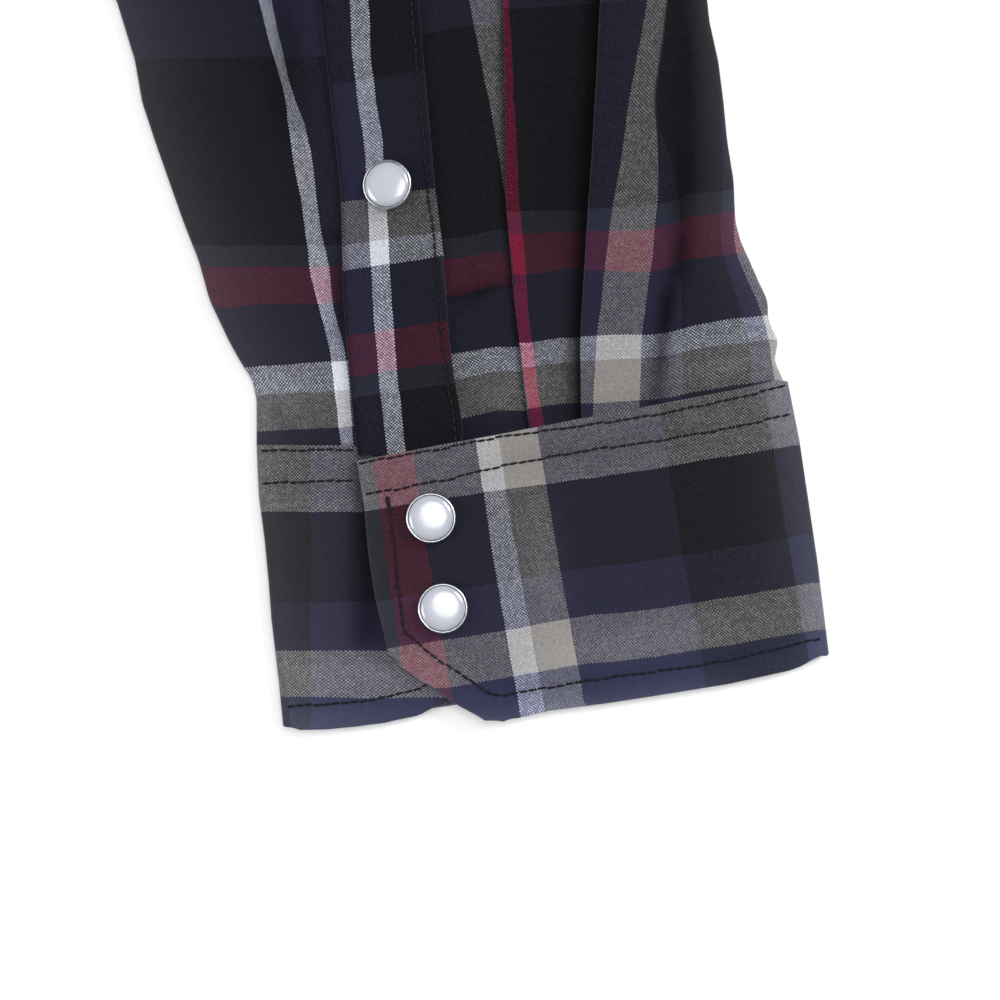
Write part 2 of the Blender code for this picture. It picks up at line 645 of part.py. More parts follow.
def build_collar(material):
    """The stand round the neck, its left end over its right, and the leaf turned down over it."""
    base, top, _ = stand_rows(np.linspace(-STAND_LAP, 360 + STAND_LAP, 37))
    thick_sheet("collar_stand", np.stack([base, (base + top) / 2, top]), COLLAR_WALL, material)

    angles = np.linspace(LEAF_START, 360 - LEAF_START, 33)
    half = np.array(LEAF_EDGE)
    other = half[-2::-1] * (-1, -1, 1, 1) + (360, 0, 0, 0)
    edge = through(np.concatenate([half, other]), len(angles))[:, 1:]
    _, fold, outwards = stand_rows(angles)
    on_the_lap = 1 - between(LEAF_LAP_FALLS, angles)
    fold = fold + outwards * on_the_lap[:, None] * (COLLAR_WALL + SEAM_GAP)
    fold = fold + (0, 0, COLLAR_WALL + 2 * SEAM_GAP)
    rows = []
    for share in LEAF_ROWS:
        roll = LEAF_ROLL * math.sin(math.pi * math.sqrt(share))
        rows.append(fold + (edge - fold) * share + (0, 0, roll))
    thick_sheet("collar_leaf", np.stack(rows)[::-1], COLLAR_WALL, material)


# --- Snaps


def build_snap(name, centre, up, rim_finish, pearl_finish, mirrored=False):
    """A pearl snap: a metal cup with a bezel and the pearl in it."""
    turned_solid(name + "_rim", SNAP_RIM, centre, up, rim_finish, mirrored)
    turned_solid(name + "_pearl", SNAP_PEARL, centre, up, pearl_finish, mirrored)


def point_on_strip(strip, y):
    """The middle of the placket strip's top face at a height y in plan, and the way up from it."""
    middle = strip[:, 1] + (0, 0, WALL)
    found = np.array([np.interp(y, middle[:, 1], middle[:, k]) for k in range(3)])
    ahead = np.array([np.interp(y + 8, middle[:, 1], middle[:, k]) for k in range(3)])
    along = ahead - found
    return found, np.array([0, -along[2] / along[1], 1])


def build_snaps(strip, rim_finish, pearl_finish):
    """The front's snaps, the collar stand's, and those of both sleeves."""
    for number in range(FRONT_SNAPS):
        y = FRONT_SNAP_FIRST_Y - FRONT_SNAP_PITCH * number
        z = front_height(np.array([(0.0, y - SNAP_RADIUS), (0.0, y + SNAP_RADIUS)])) + 2 * WALL + SEAM_GAP
        up = (0, (z[0] - z[1]) / (2 * SNAP_RADIUS), 1)
        seat = np.array([0, y, z.max() + SEAM_GAP])
        build_snap(f"snap_front_{number + 1}", seat, up, rim_finish, pearl_finish)
    base, top, up = (rows[0] for rows in stand_rows(np.array([360.0])))
    seat = (base + top) / 2 + up * (COLLAR_WALL / 2 + SEAM_GAP)
    build_snap("snap_collar", seat, up, rim_finish, pearl_finish)
    for side, mirrored in (("right", False), ("left", True)):
        for number, (x, y) in enumerate(CUFF_SNAPS):
            seat = np.array([*(WRIST + (x, y)), CUFF_HIGH_Z + CUFF_WALL / 2 + SEAM_GAP])
            build_snap(f"snap_cuff_{side}_{number + 1}", seat, (0, 0, 1), rim_finish, pearl_finish, mirrored)
        seat, up = point_on_strip(strip, WRIST[1] + PLACKET_SNAP[1])
        seat[0] = WRIST[0] + PLACKET_SNAP[0]
        build_snap(f"snap_placket_{side}", seat + up * 2 * SEAM_GAP, up, rim_finish, pearl_finish, mirrored)


# --- Materials and the whole


def finish(name, colour, roughness, metallic=0.0):
    """A Principled material of one colour."""
    material = bpy.data.materials.new(name)
    material.use_nodes = True
    shader = material.node_tree.nodes["Principled BSDF"]
    shader.inputs["Base Color"].default_value = (*colour, 1)
    shader.inputs["Roughness"].default_value = roughness
    shader.inputs["Metallic"].default_value = metallic
    return material


def stand_on_origin():
    """Moves every mesh by the same amount, so that the origin is below the middle of the whole box."""
    meshes = [piece.data for piece in bpy.context.scene.objects if piece.type == "MESH"]
    corners = np.concatenate([[v.co for v in mesh.vertices] for mesh in meshes])
    low, high = corners.min(axis=0), corners.max(axis=0)
    shift = -(low + high) / 2
    shift[2] = -low[2]
    for mesh in meshes:
        for vertex in mesh.vertices:
            vertex.co = [value + move for value, move in zip(vertex.co, shift)]
        mesh.update()


def build_shirt():
    """All the pieces of the shirt."""
    body = finish("plaid_body", (0.030, 0.031, 0.045), 0.85)
    sleeve = finish("plaid_sleeve", (0.040, 0.036, 0.050), 0.85)
    trim = finish("plaid_trim", (0.090, 0.085, 0.095), 0.85)
    rim_finish = finish("snap_metal", (0.62, 0.62, 0.63), 0.25, 1.0)
    pearl_finish = finish("pearl", (0.78, 0.79, 0.80), 0.18)
    build_back(body)
    build_front("right", -RIGHT_FRONT_LAP, True, body)
    build_front("left", RIGHT_FRONT_LAP + SEAM_GAP, False, body)
    build_front_placket(trim)
    build_collar(trim)
    strip = build_sleeve("right", False, sleeve)
    build_sleeve("left", True, sleeve)
    build_cuff("right", False, trim)
    build_cuff("left", True, trim)
    build_snaps(strip, rim_finish, pearl_finish)
    stand_on_origin()


for old in list(bpy.data.objects):
    bpy.data.objects.remove(old, do_unlink=True)
build_shirt()
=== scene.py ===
"""Western snap shirt in dark plaid cotton, laid flat with its front up and its snaps closed.

The camera looks straight down at the right sleeve end. Sizes are in millimetres, as on a cutting table:
x runs across from the centre front towards the wearer's left, y runs up from the side of the neck and z
up from the surface that the shirt lies on. Sizes of a sleeve end are counted from the wrist point, which
lies on the cuff. Left pieces are the right ones mirrored.
"""

import math

import bpy
import numpy as np
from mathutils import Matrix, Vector


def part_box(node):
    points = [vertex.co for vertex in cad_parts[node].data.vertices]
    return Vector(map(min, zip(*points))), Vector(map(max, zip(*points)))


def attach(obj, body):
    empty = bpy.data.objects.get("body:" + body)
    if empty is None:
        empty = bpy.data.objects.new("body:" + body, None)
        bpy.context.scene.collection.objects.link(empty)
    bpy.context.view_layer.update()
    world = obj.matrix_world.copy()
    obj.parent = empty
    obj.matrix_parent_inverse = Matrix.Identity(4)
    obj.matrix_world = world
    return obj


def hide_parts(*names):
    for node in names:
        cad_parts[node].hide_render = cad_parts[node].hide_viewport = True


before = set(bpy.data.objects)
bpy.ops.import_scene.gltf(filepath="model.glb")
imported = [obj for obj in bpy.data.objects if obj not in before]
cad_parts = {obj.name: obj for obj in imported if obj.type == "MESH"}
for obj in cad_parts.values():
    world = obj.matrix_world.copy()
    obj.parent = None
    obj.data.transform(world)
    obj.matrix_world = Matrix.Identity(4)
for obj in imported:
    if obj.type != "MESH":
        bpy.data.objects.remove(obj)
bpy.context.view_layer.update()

MM = 0.001
HEM_BACK_Y = -790
TABLE_SHIFT = np.array([0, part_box("back_panel")[0].y / MM - HEM_BACK_Y, 0])  # from the cut to the frame

# --- Sizes

SHIRTING = 0.35  # thickness of one cloth
BODY_WALL = 0.8
STRIP_WALL = 1.2
CUFF_WALL = 1.7
COLLAR_WALL = 1.6
SEAM_GAP = 0.3
RIM_REACH = 0.45  # how far a folded edge rounds off in plan
EDGE_LIGHT_AND_WEAR, EDGE_LIGHT_REACH, RIM_PAINTED_LIGHT = 0.4, 5, 0.15  # painted edge light and wear at the edges, how far in, and more painted light on the rim
BACK_WALL, BACK_YOKE_WALL = 1.1, 1.15
FRONT_Z = 1.5
FRONT_WALL = 1.2

NECK_HALF_WIDTH = 80
NECK_FRONT_DROP = 85
NECK_BACK_RISE = 15
SHOULDER = (235, -45)
ARMPIT = (285, -265)
ARMHOLE = [SHOULDER, (220, -95), (213, -150), (226, -212), ARMPIT]
SIDE_SEAM = [ARMPIT, (273, -380), (269, -480), (275, -600), (280, -700)]
HEM_SIDE_Y = -700
HEM_FRONT_Y = -780
HEM_FLAT_HALF = 60
YOKE_FRONT_CENTRE_Y = -135
YOKE_POINT = (118, -205)
YOKE_BOWS = ((86, -138), (152, -150))
YOKE_ARMHOLE_SHARE = 0.5  # how far down the armhole the yoke seam meets it
YOKE_BACK_POINT_Y = -190
YOKE_BACK_BOW = (60, -118)
YOKE_BACK_ARMHOLE_SHARE = 0.35
YOKE_SEAM_GAP = 0.5
BODY_BULGE = 2.6
BULGE_HALF_WIDTH = 272
BULGE_TOP = (-150, -280)  # heights between which the swell grows
FOLD_CLEAR = (30, 80)  # the folds set in this far from the centre front
SIDE_FADE = (250, 280)  # and die out here
PLACKET_HALF_WIDTH = 16
PLACKET_ROW = 11  # from the centre line to the stitch rows
HEM_INSET = 8  # from the hem's edge to its stitch row
RIGHT_FRONT_LAP = 10
# Soft folds: start x, start y, end x, end y, height, half width. A trough has a height below 0
BODY_FOLDS = [(-268, -262, -130, -345, 1, 24), (262, -258, 150, -372, 1, 22),
              (-250, -455, -90, -520, 0.9, 28), (244, -430, 96, -468, 1, 26),
              (-95, -250, -72, -400, 0.8, 22), (120, -575, 88, -735, 1, 26),
              (-172, -610, -150, -740, 0.9, 26), (-262, -290, -165, -372, -0.7, 9),
              (258, -284, 178, -388, -0.7, 9), (-236, -478, -120, -530, -0.6, 10),
              (236, -452, 120, -486, -0.7, 10), (-206, -560, -150, -600, 0.5, 10),
              (205, -640, 150, -690, 0.5, 11), (-60, -300, -46, -372, -0.4, 8),
              (66, -560, 60, -640, 0.4, 9)]

# Elbow fold of the right sleeve
CREASE_OUTER = np.array([-460.0, -137.0])
CREASE_INNER = np.array([-580.0, -350.0])
CREASE_ROUND = 1.5  # radius of the cloth's turn at the crease
SLEEVE_FLAT = 2.7
CREASE_Z = SLEEVE_FLAT + SEAM_GAP / 2
ARMHOLE_GAP = 0.4
# Swell of the upper arm, by the share of the way up from the armhole to the crease
UPPER_STATIONS = (0, 0.15, 0.3, 0.45, 0.7, 1)
UPPER_BULGE = (0, 2.0, 2.0, 0, 0, 0)
LANDING = 3.0  # how far past the upper arm's edge the forearm lies raised
FOREARM_FLAT = 3.3  # thickness of the flat sleeve at the hand, as SLEEVE_FLAT above it
WRIST = np.array([-464.7, -507.8])

# Lines of the sleeve's placket side as (height, x) from the wrist point, upwards from the cuff
SLEEVE_LINES = {
    "inner": [(14.1, -57.4), (23.5, -57.4), (28.2, -58.4), (32.9, -61.4), (37.6, -64), (47.1, -68.5),
              (56.5, -71.1), (65.9, -74.8), (75.3, -78.1), (84.7, -81.4), (94.1, -84.5), (103.5, -86.1),
              (117.6, -90.4)],
    "white_left": [(14.1, -37.6), (35.3, -40), (44.7, -42.4), (54.1, -44.9), (61.2, -45.4), (70.6, -46.8),
                   (80, -48.7), (94.1, -50.4), (98.8, -51.5), (108.2, -54.4), (117.6, -56.7)],
    "white_right": [(14.1, -34.8), (35.3, -36.5), (44.7, -39.5), (54.1, -40.2), (61.2, -41.9),
                    (70.6, -43.3), (80, -44.2), (89.4, -46.4), (98.8, -49.9), (108.2, -52),
                    (117.6, -53.9)],
    "placket_in": [(9.9, -33.6), (14.1, -34.1), (37.6, -36.2), (47.1, -36.9), (72.9, -37.4),
                   (94.1, -39.8), (117.6, -42.4)],
    "placket_out": [(14.1, -8.6), (20, -9.3), (28.5, -10.9), (37.6, -12), (57.6, -13.4), (72.5, -15.3),
                    (94.1, -17.2), (117.6, -19.3)],
    "pleat_1": [(17.6, 6.8), (24, 5.9), (37.4, 4.5), (47.3, 3.3), (61.6, 2.1), (71.8, 1.2), (92.2, 1.2),
                (117.6, 0.7)],
    "pleat_2": [(17.6, 19.1), (37.4, 18.8), (53.9, 19.8), (69.2, 20.7), (81.9, 21.6), (99.8, 22.6),
                (117.6, 23.5)],
    "beige_left": [(17.6, 21.6), (40, 22.8), (49.4, 24), (57.4, 24.9), (67.1, 26.1), (75.3, 27.5),
                   (89.4, 29.6), (98.8, 31.1), (108.2, 32.9), (117.6, 34.6)],
    "beige_right": [(17.6, 32.7), (40, 33.6), (49.4, 34.8), (57.4, 36.2), (67.1, 36.9), (75.3, 37.2),
                    (84.7, 36.9), (94.1, 35.8), (98.8, 36.5), (108.2, 37.9), (117.6, 39.1)],
    "light": [(17.6, 66), (29.2, 64.5), (38.1, 63.1), (44.2, 61.4), (50.6, 58.6), (58.1, 55.3),
              (62.8, 54.8), (70.6, 55.3), (94.1, 57), (117.6, 57.6)],
    "outer": [(17.6, 68.7), (23.5, 67.8), (28.2, 66.8), (32.9, 64.7), (37.6, 65.6), (42.4, 63.3),
              (47.1, 63.1), (51.8, 60.9), (56.5, 58.8), (61.2, 56.7), (65.9, 55.5), (75.3, 55.1),
              (84.7, 53.6), (94.1, 52.7), (103.5, 51.5), (112.9, 49.4), (117.6, 48.9)],
}
# Warp place of the cloth on those lines as (height, warp place), by how far the plaid has run
WARP_AT = {
    "inner": [(14.1, -19.8), (28.2, -18.6), (37.6, -23.5), (47.1, -25.4), (56.5, -26), (70.6, -29.6),
              (84.7, -32), (94.1, -34.1), (117.6, -33.9)],
    "placket_in": [(14.1, 4.7), (28.2, 4.4), (40, 5.6), (54.1, 7.3), (70.6, 10.1), (94.1, 12.2),
                   (117.6, 15.5)],
    "placket_out": [(17.6, 32.5), (58.8, 34.3), (80, 34), (94.1, 35.6), (117.6, 38.2)],
    "pleat_1_under": [(18.8, 46.9), (47.1, 48), (58.8, 48.9), (70.6, 50), (80, 51.4), (117.6, 58)],
    "pleat_1_over": [(21.2, 63.6), (40, 64.1), (57.4, 63.8), (75.3, 64.2), (94.1, 65.1), (117.6, 65.9)],
    "pleat_2_under": [(21.2, 76.4), (53.9, 80.9), (81.9, 84.4), (117.6, 88.6)],
    "pleat_2_over": [(23.3, 98.2), (40.2, 97), (63.3, 95.7), (81.9, 94.4), (99.8, 92.3), (117.6, 90.2)],
    "beige_right_under": [(17.6, 111.5), (68, 111.5), (77, 111), (85, 109), (94.1, 106.4),
                          (117.6, 105.6)],
    "beige_right_over": [(17.6, 111.5), (62, 111.5), (75, 113.8), (84, 118), (92, 120.3), (117.6, 120.8)],
}
# The same for the edges of the white and the beige stripe, and for the light line
STRIPE_WARP = {"white_left": 0, "white_right": 4, "beige_left": 101}
LIGHT_WARP = 137
# Weft place of the cloth: at each x, the heights at which the bands change
BAND_EDGES = (-46, 0, 5, 14.5, 28.2, 33.8, 43.5)
# Left of the first pleat
BANDS_LEFT = [(-64.7, (104, 59.8, 54.8, 45.2, 30.4, 23.8, 14.8)),
              (-56, (104.2, 60, 54.9, 46.2, 31.3, 24.7, 16)),
              (-42.8, (104, 59.8, 54.6, 46.1, 32.2, 25.4, 16.7)),
              (-10.6, (111.1, 61.6, 56.7, 47.8, 34.4, 28.2, 18.6)),
              (-0.5, (111.8, 63.5, 58.4, 50.4, 36, 30.4, 20.9))]
# From the first pleat on
BANDS_RIGHT = [(7.1, (115.3, 67.8, 62.4, 52.7, 36.9, 31.3, 21.2)),
               (15.3, (116.2, 68, 63.1, 54.4, 38.1, 32.5, 22.4)),
               (34.1, (117.6, 68.9, 63.3, 53.2, 38.8, 33.4, 23.3)),
               (39.8, (118.4, 70, 65, 54.4, 39.3, 34, 23.8)),
               (44.7, (119.5, 72, 66.6, 56.7, 40.9, 35.3, 24.9)),
               (54.1, (120.9, 72.9, 67.8, 57.9, 42.4, 36.7, 26.6)),
               (63.5, (122.4, 73.9, 68.7, 59.1, 43.5, 37.9, 27.8))]
# Top edge of the cuff, x and y
SEAM_LINE = [(-57.4, 12.7), (-34, 12.7), (-33.9, 9.2), (67.8, 28.2)]
SEAM_NOMINAL = 17.0  # height of that edge from which the rows are counted
SEAM_SINK = 1.3  # how far the sleeve's lowest rows go down between the cuff's layers
SINK_ROWS = (16.6, 23)
SUNK_MIDDLE, SUNK_BACK = 1.5, 0.9  # heights there of the middle between its sides, and of its back
# Folds of the forearm, from the wrist point
FOREARM_FOLDS = [(-14, 46.2, 3, 51.3, -1.1, 1.5), (-2, 49, -11, 43.4, -0.7, 1.3),
                 (-14, 42, 2.5, 45.5, 0.7, 3), (-12, 50.5, -1, 54, 0.5, 2.2), (-62, 106, -42, 74, 0.8, 6),
                 (-57, 98, -44, 80, -0.7, 3), (-70, 60, -50, 34, 0.7, 6), (-55, 34, -47, 18, -0.4, 3.5),
                 (-46, 30, -42, 17, 0.35, 3), (37.5, 126, 35.5, 84, 1.2, 3),
                 (43, 126, 42.4, 70, -1.3, 3.6), (42.6, 82, 42.6, 54, -1.2, 2.5),
                 (42.4, 60, 38.6, 40, -1.2, 2.4), (39.6, 46, 36.6, 18, -0.9, 2.3),
                 (44, 50, 41.5, 24, 0.5, 2), (17.6, 126, 17, 40, -1.1, 3.6), (62, 62, 45, 34, 0.8, 5),
                 (56, 64, 44, 46, -0.5, 3), (64, 38, 52, 26, 0.5, 3), (36, 44, 34, 24, 0.35, 4),
                 (-6, 40, -3, 17, 0.3, 4), (46, 40, 48, 22, -0.3, 4), (12, 104, 14, 60, 0.4, 4),
                 (-30, 150, 20, 128, 0.8, 10), (-95, 150, -60, 118, 0.7, 9)]
# Painted light and shade on the forearm's cloth: darker strokes are painted shade along and beside its
# folds, lighter ones painted highlights; as the folds
FOREARM_SHADING = [(43, 126, 42.4, 70, -0.3, 4), (42.4, 80, 42.6, 54, -0.55, 2.4),
                (42.4, 60, 38.8, 42, -0.55, 2.4), (39.2, 47, 36.4, 20, -0.75, 2.2),
                (-52.5, 124, -48, 88, -0.5, 4), (-13, 46.8, 3, 51.4, -0.5, 1),
                (-2.3, 49.4, -10.5, 43.6, -0.4, 1), (-38.8, 62, -36.6, 36, -0.5, 2.6),
                (-46, 122, -46, 100, -0.2, 4), (13, 130, 13, 60, -0.22, 6), (-7, 32, -5, 16, -0.2, 3),
                (-6, 26, 9, 27, 0.25, 5), (41, 29, 62, 33, 0.35, 5), (-53, 31, -46, 24, 0.6, 0.5),
                (-54.5, 27, -47, 21.5, 0.4, 0.6), (-54, 22, -49, 16.5, -0.3, 1.5)]
# Folds of the forearm below the elbow, from the wrist point
ELBOW_FOLDS = [(-100, 200, -10, 172, 1, 13), (-70, 178, 10, 160, -0.8, 7), (-120, 270, -60, 300, 1.1, 14),
               (-60, 330, 0, 350, 1, 14), (-90, 240, -30, 236, -0.8, 9)]
# Folds of the upper arm, on the cutting table
UPPER_FOLDS = [(-300, -252, -400, -268, 1.6, 16), (-296, -238, -380, -222, -0.9, 9),
               (-250, -120, -330, -150, 1.1, 14), (-560, -318, -500, -262, -0.8, 9),
               (-545, -300, -470, -232, 1, 12), (-480, -170, -420, -176, 1, 12),
               (-350, -190, -440, -236, 0.9, 13)]

# Cuff, from the wrist point
CUFF_LAP_BOTTOM = [(-3.5, -51.8), (1.2, -51.9), (4.7, -51.3), (11.8, -49.6), (25.9, -47.8), (40, -45.6),
                   (54.1, -43.3), (68.2, -40.2), (77.6, -36.7)]
CUFF_LAP_TOP = [(-33.9, 9.2), (67.8, 28.2)]
CUFF_LAP_END = [(-3.5, -51.8), (-8.7, -48.9), (-11.8, -47.1), (-14.8, -44.7), (-22.2, -40.2),
                (-26.4, -36), (-27.3, -31.5), (-29.4, -22.8), (-30.9, -12.9), (-32, -1.2), (-33.4, 7.5),
                (-33.9, 9.2)]
CUFF_OUTER_EDGE = [(77.6, -36.7), (74.8, -14.1), (70.6, 14.1), (67.8, 28.2)]
CUFF_INNER_EDGE = [(-51.1, -53.6), (-52.2, -42.4), (-53.9, -28.2), (-54.6, -18.8), (-55.5, -9.4),
                   (-56.9, 1.2), (-57.4, 12.9)]
CUFF_UNDER_BOTTOM = [(-51.1, -53.6), (-48.2, -54.2), (-41.2, -54.1), (-34.1, -53.4), (-27.1, -52.5),
                     (-20, -50.8), (-14.1, -48.5), (-12, -47.1)]
CUFF_UNDER_TOP = [(-57.4, 12.9), (-14.1, 12.6)]
CUFF_ROW_TOP = [(-33.2, 8.5), (-25.9, 10), (-19.3, 11.1), (-12.7, 12.2), (-6.1, 13.7), (0.5, 14.9),
                (7.1, 15.8), (20.2, 17.6), (33.4, 19.5), (40, 20.7), (46.6, 22.1), (53.2, 23.4),
                (59.8, 25), (67.2, 27)]
CUFF_ROW_BELOW = [(-31.7, 1.4), (-24.9, 2.4), (-18.4, 3.8), (-11.8, 4.9), (-5.2, 6.7), (1.4, 8.2),
                  (8, 9.4), (21.2, 11.8), (34.4, 13.5), (40.9, 14.6), (54.1, 16.9), (60.7, 18.4),
                  (68.3, 20.2)]
CUFF_ROW_BOTTOM = [(2.8, -45.5), (9.4, -44.5), (22.6, -42.2), (35.8, -40.5), (45.6, -39.1), (55.5, -37.4),
                   (62.1, -35.8), (75.6, -32.5)]
CUFF_ROW_END = [(-26.4, 0.7), (-24.9, -10.3), (-23.8, -22), (-22.7, -29.9), (-21.8, -31.5), (-16.6, -35.9),
                (-11.8, -39.4), (-6.6, -42.5), (-2.2, -45.8), (0.6, -46), *CUFF_ROW_BOTTOM]
CUFF_BACK_TACKS = [[(x, 0.7), (x + 0.3, -1.6), (x + 0.6, -2.8)] for x in (-26.7, -26.2)]
UNDER_ROWS = [[(-56.4, 11.6), (-34.4, 11.9)], [(-56, 3.9), (-34.6, 4.7)],
              [(-50.4, -48.6), (-35.3, -47.7), (-26.6, -46.4), (-18.8, -44.2), (-16.4, -43.2)]]
# Depth and half width of the ditch along rows of the overlap, and the inset of the row along its end
CUFF_DITCHES = [(CUFF_ROW_TOP, 0.3, 0.75), (CUFF_ROW_BELOW, 0.45, 0.95), (CUFF_ROW_BOTTOM, 0.4, 0.9)]
END_STITCH_INSET = 5.4
# Rise of the overlap's top edge, and the cosine and sine of its angle
CUFF_SLOPE = 0.1868
CUFF_COS, CUFF_SIN = 0.983, 0.184
CUFF_HIGH, CUFF_LOW = 6.0, 3.9  # top of the overlap, on the underlap and past its end
CUFF_STEP_LINE = (-9.6, 13.7, 0.0931)  # where it starts down: x and y at the top, and lean
CUFF_STEP_WIDTH = 13
CUFF_FLOOR = 0.02  # height of its underside
CUFF_TURN = (12, 30, 50, 70, 90, 110, 130, 150, 168, 180)  # angles of the columns round an edge
CUFF_ROWS, LAP_COLUMNS, UNDER_COLUMNS = 62, 90, 36
# Underlap: y of its top, its ditches as distance below it and depth, y from which its warp counts, and the
# weft place at the inner edge
UNDER_TOP_Y = 13.9
UNDER_DITCHES = [(2.2, 0.25), (9.6, 0.4), (62.8, 0.4)]
UNDER_WARP_Y = 11.7
UNDER_WEFT = 245
# Lines where the overlap's cross stripes change: top x, y, bottom x, y and place in the weft order
CUFF_CROSS = [(-29.6, 10.6, -23.5, -35.1, 5), (-19.8, 7.1, -12.5, -37.4, 14.5),
              (-4.9, 9.9, 4.2, -46.8, 28.2), (0.2, 10.8, 9.9, -45.9, 33.8),
              (9.6, 12.7, 19.5, -44.2, 43.5), (38.3, 18.1, 48, -39.3, 72), (62.7, 22.4, 72.4, -35.3, 95)]
# How far its long stripes are off their even place, by x
CUFF_BAND_SHIFT = [(-23.5, 2.3), (1.9, 1.3), (30.1, 0), (63.3, -0.8)]
# Painted light and shade on the cuff, as the forearm's
CUFF_SHADING = [(-20, -36, 0, -50, 0.25, 4), (10, -37, 60, -29, 0.4, 4.5), (9, -2, 12, -28, 0.3, 5),
             (-27, 10, -23, 0, -0.2, 5), (-2, 8.5, 42, 16, -0.2, 5)]
# Low swells and dents of the cuff's cloth: x, y, height, half width
CUFF_SWELLS = [(20, -8, 0.45, 17), (52, 2, -0.3, 12), (60, -20, 0.35, 11), (34, -32, -0.25, 9),
               (-22, -30, 0.3, 8), (-44, -20, 0.35, 10), (-47, 2, 0.2, 8)]

# Collar, by angle round the neck: 0 at the centre front, 90 at the wearer's right shoulder
STAND_LAP = 10
STAND_TOP_HALF_WIDTH = 74
STAND_TOP_FRONT_DROP = 61
STAND_TOP_BACK_RISE = 12
STAND_TOP_Z = (17, 30)
STAND_BACK_SINK = 1.2
STAND_SINKS = (0.7, 0.9)  # from front to back, where the stand goes down to the back yoke
STAND_LAP_RISES = (325, 345)  # angles over which the left end comes out over the right
LEAF_LAP_FALLS = (13, 28)
LEAF_START = 4
# Edge of the leaf: angle, x, y and height
LEAF_EDGE = [(4, -50, -128, 6.5), (40, -86, -92, 6.5), (80, -114, -28, 6), (125, -88, 28, 5),
             (180, 0, 44, 4)]
LEAF_ROLL = 3.0
LEAF_STITCH_INSET = 6

# Snaps
SNAP_RADIUS = 6.0
FRONT_SNAP_FIRST_Y = -108
FRONT_SNAP_PITCH = 92
CUFF_SNAPS = [(-16.2, -4.2), (-13.4, -25.4)]
PLACKET_SNAP = (-26.2, 73.8)

# Stitching
STITCH_PITCH = 2.2
STITCH_LENGTH = 2.4
THREAD_HALF = 0.29  # half the thickness of a sunk stitch


# --- Curves and steps


def soft_step(t):
    """0 below 0, 1 above 1, and an even S between."""
    t = np.clip(t, 0, 1)
    return t * t * (3 - 2 * t)


def between(limits, value):
    """0 before the first limit, 1 past the second, and an even S between."""
    return soft_step((value - limits[0]) / (limits[1] - limits[0]))


def evenly(line, count):
    """The polyline resampled to count points at equal steps of length."""
    line = np.asarray(line, float)
    steps = np.linalg.norm(np.diff(line, axis=0), axis=1)
    length = np.concatenate([[0], np.cumsum(steps)])
    wanted = np.linspace(0, length[-1], count)
    return np.stack([np.interp(wanted, length, line[:, k]) for k in range(line.shape[1])], axis=1)


def through(points, count):
    """A smooth curve through the points (Catmull-Rom), sampled at equal steps of length."""
    points = np.asarray(points, float)
    padded = np.concatenate([[2 * points[0] - points[1]], points, [2 * points[-1] - points[-2]]])
    spans = len(points) - 1
    t = np.linspace(0, spans, 30 * spans + 1)
    i = np.minimum(t.astype(int), spans - 1)
    f = (t - i)[:, None]
    a, b, c, d = padded[i], padded[i + 1], padded[i + 2], padded[i + 3]
    dense = b + 0.5 * f * (c - a + f * (2 * a - 5 * b + 4 * c - d + f * (3 * b - a - 3 * c + d)))
    return evenly(dense, count)


def bow(start, control, end, count):
    """A quadratic arc from start to end, pulled towards control."""
    t = np.linspace(0, 1, count)[:, None]
    start, control, end = (np.asarray(p, float) for p in (start, control, end))
    return (1 - t) ** 2 * start + 2 * t * (1 - t) * control + t**2 * end


def joined(first, second):
    """Two curves end to end, their shared point kept once."""
    return np.concatenate([first, second[1:]])


def patch(bottom, top, left, right, shares=None):
    """A grid of plan points inside four boundary curves (Coons): rows run from bottom to top, evenly or at
    the shares given."""
    u = np.linspace(0, 1, len(bottom))[None, :, None]
    v = (np.linspace(0, 1, len(left)) if shares is None else shares)[:, None, None]
    ruled_up = (1 - v) * bottom[None] + v * top[None]
    ruled_across = (1 - u) * left[:, None] + u * right[:, None]
    corners = (1 - v) * ((1 - u) * bottom[0] + u * bottom[-1]) + v * ((1 - u) * top[0] + u * top[-1])
    return ruled_up + ruled_across - corners


def with_height(plan, z):
    """Plan points and their heights as points in space."""
    z = np.broadcast_to(np.asarray(z, float), plan.shape[:-1])
    return np.concatenate([plan, z[..., None]], axis=-1)


def eased(knots, at, reach=3.0):
    """A line through (place, value) knots with its corners rounded: at each place the mean of the straight
    line over a window of reach to either side, run on straight past both ends."""
    place, value = np.array(knots, float).T
    first = (value[1] - value[0]) / (place[1] - place[0])
    last = (value[-1] - value[-2]) / (place[-1] - place[-2])
    place = np.concatenate([[place[0] - 50], place, [place[-1] + 50]])
    value = np.concatenate([[value[0] - 50 * first], value, [value[-1] + 50 * last]])
    window = np.linspace(-reach, reach, 9)
    weight = 1.1 * reach - np.abs(window)
    return np.interp(np.asarray(at)[..., None] + window, place, value) @ (weight / weight.sum())


def spread(x, lines, values):
    """The value at x, straight from line to line, and one for one past the first and last line."""
    total = values[0] + np.minimum(x - lines[0], 0) + np.maximum(x - lines[-1], 0)
    for a, b, low, high in zip(lines, lines[1:], values, values[1:]):
        total = total + (high - low) * np.clip((x - a) / (b - a), 0, 1)
    return total


def folds(x, y, table):
    """Heights of soft folds: each is a bell across its line, strongest in the middle of its length."""
    total = np.zeros(np.shape(x))
    for start_x, start_y, end_x, end_y, height, half_width in table:
        run_x, run_y = end_x - start_x, end_y - start_y
        t = np.clip(((x - start_x) * run_x + (y - start_y) * run_y) / (run_x**2 + run_y**2), 0, 1)
        away = np.hypot(x - start_x - t * run_x, y - start_y - t * run_y)
        total += height * np.exp(-((away / half_width) ** 2)) * np.sin(math.pi * (0.15 + 0.7 * t))
    return total


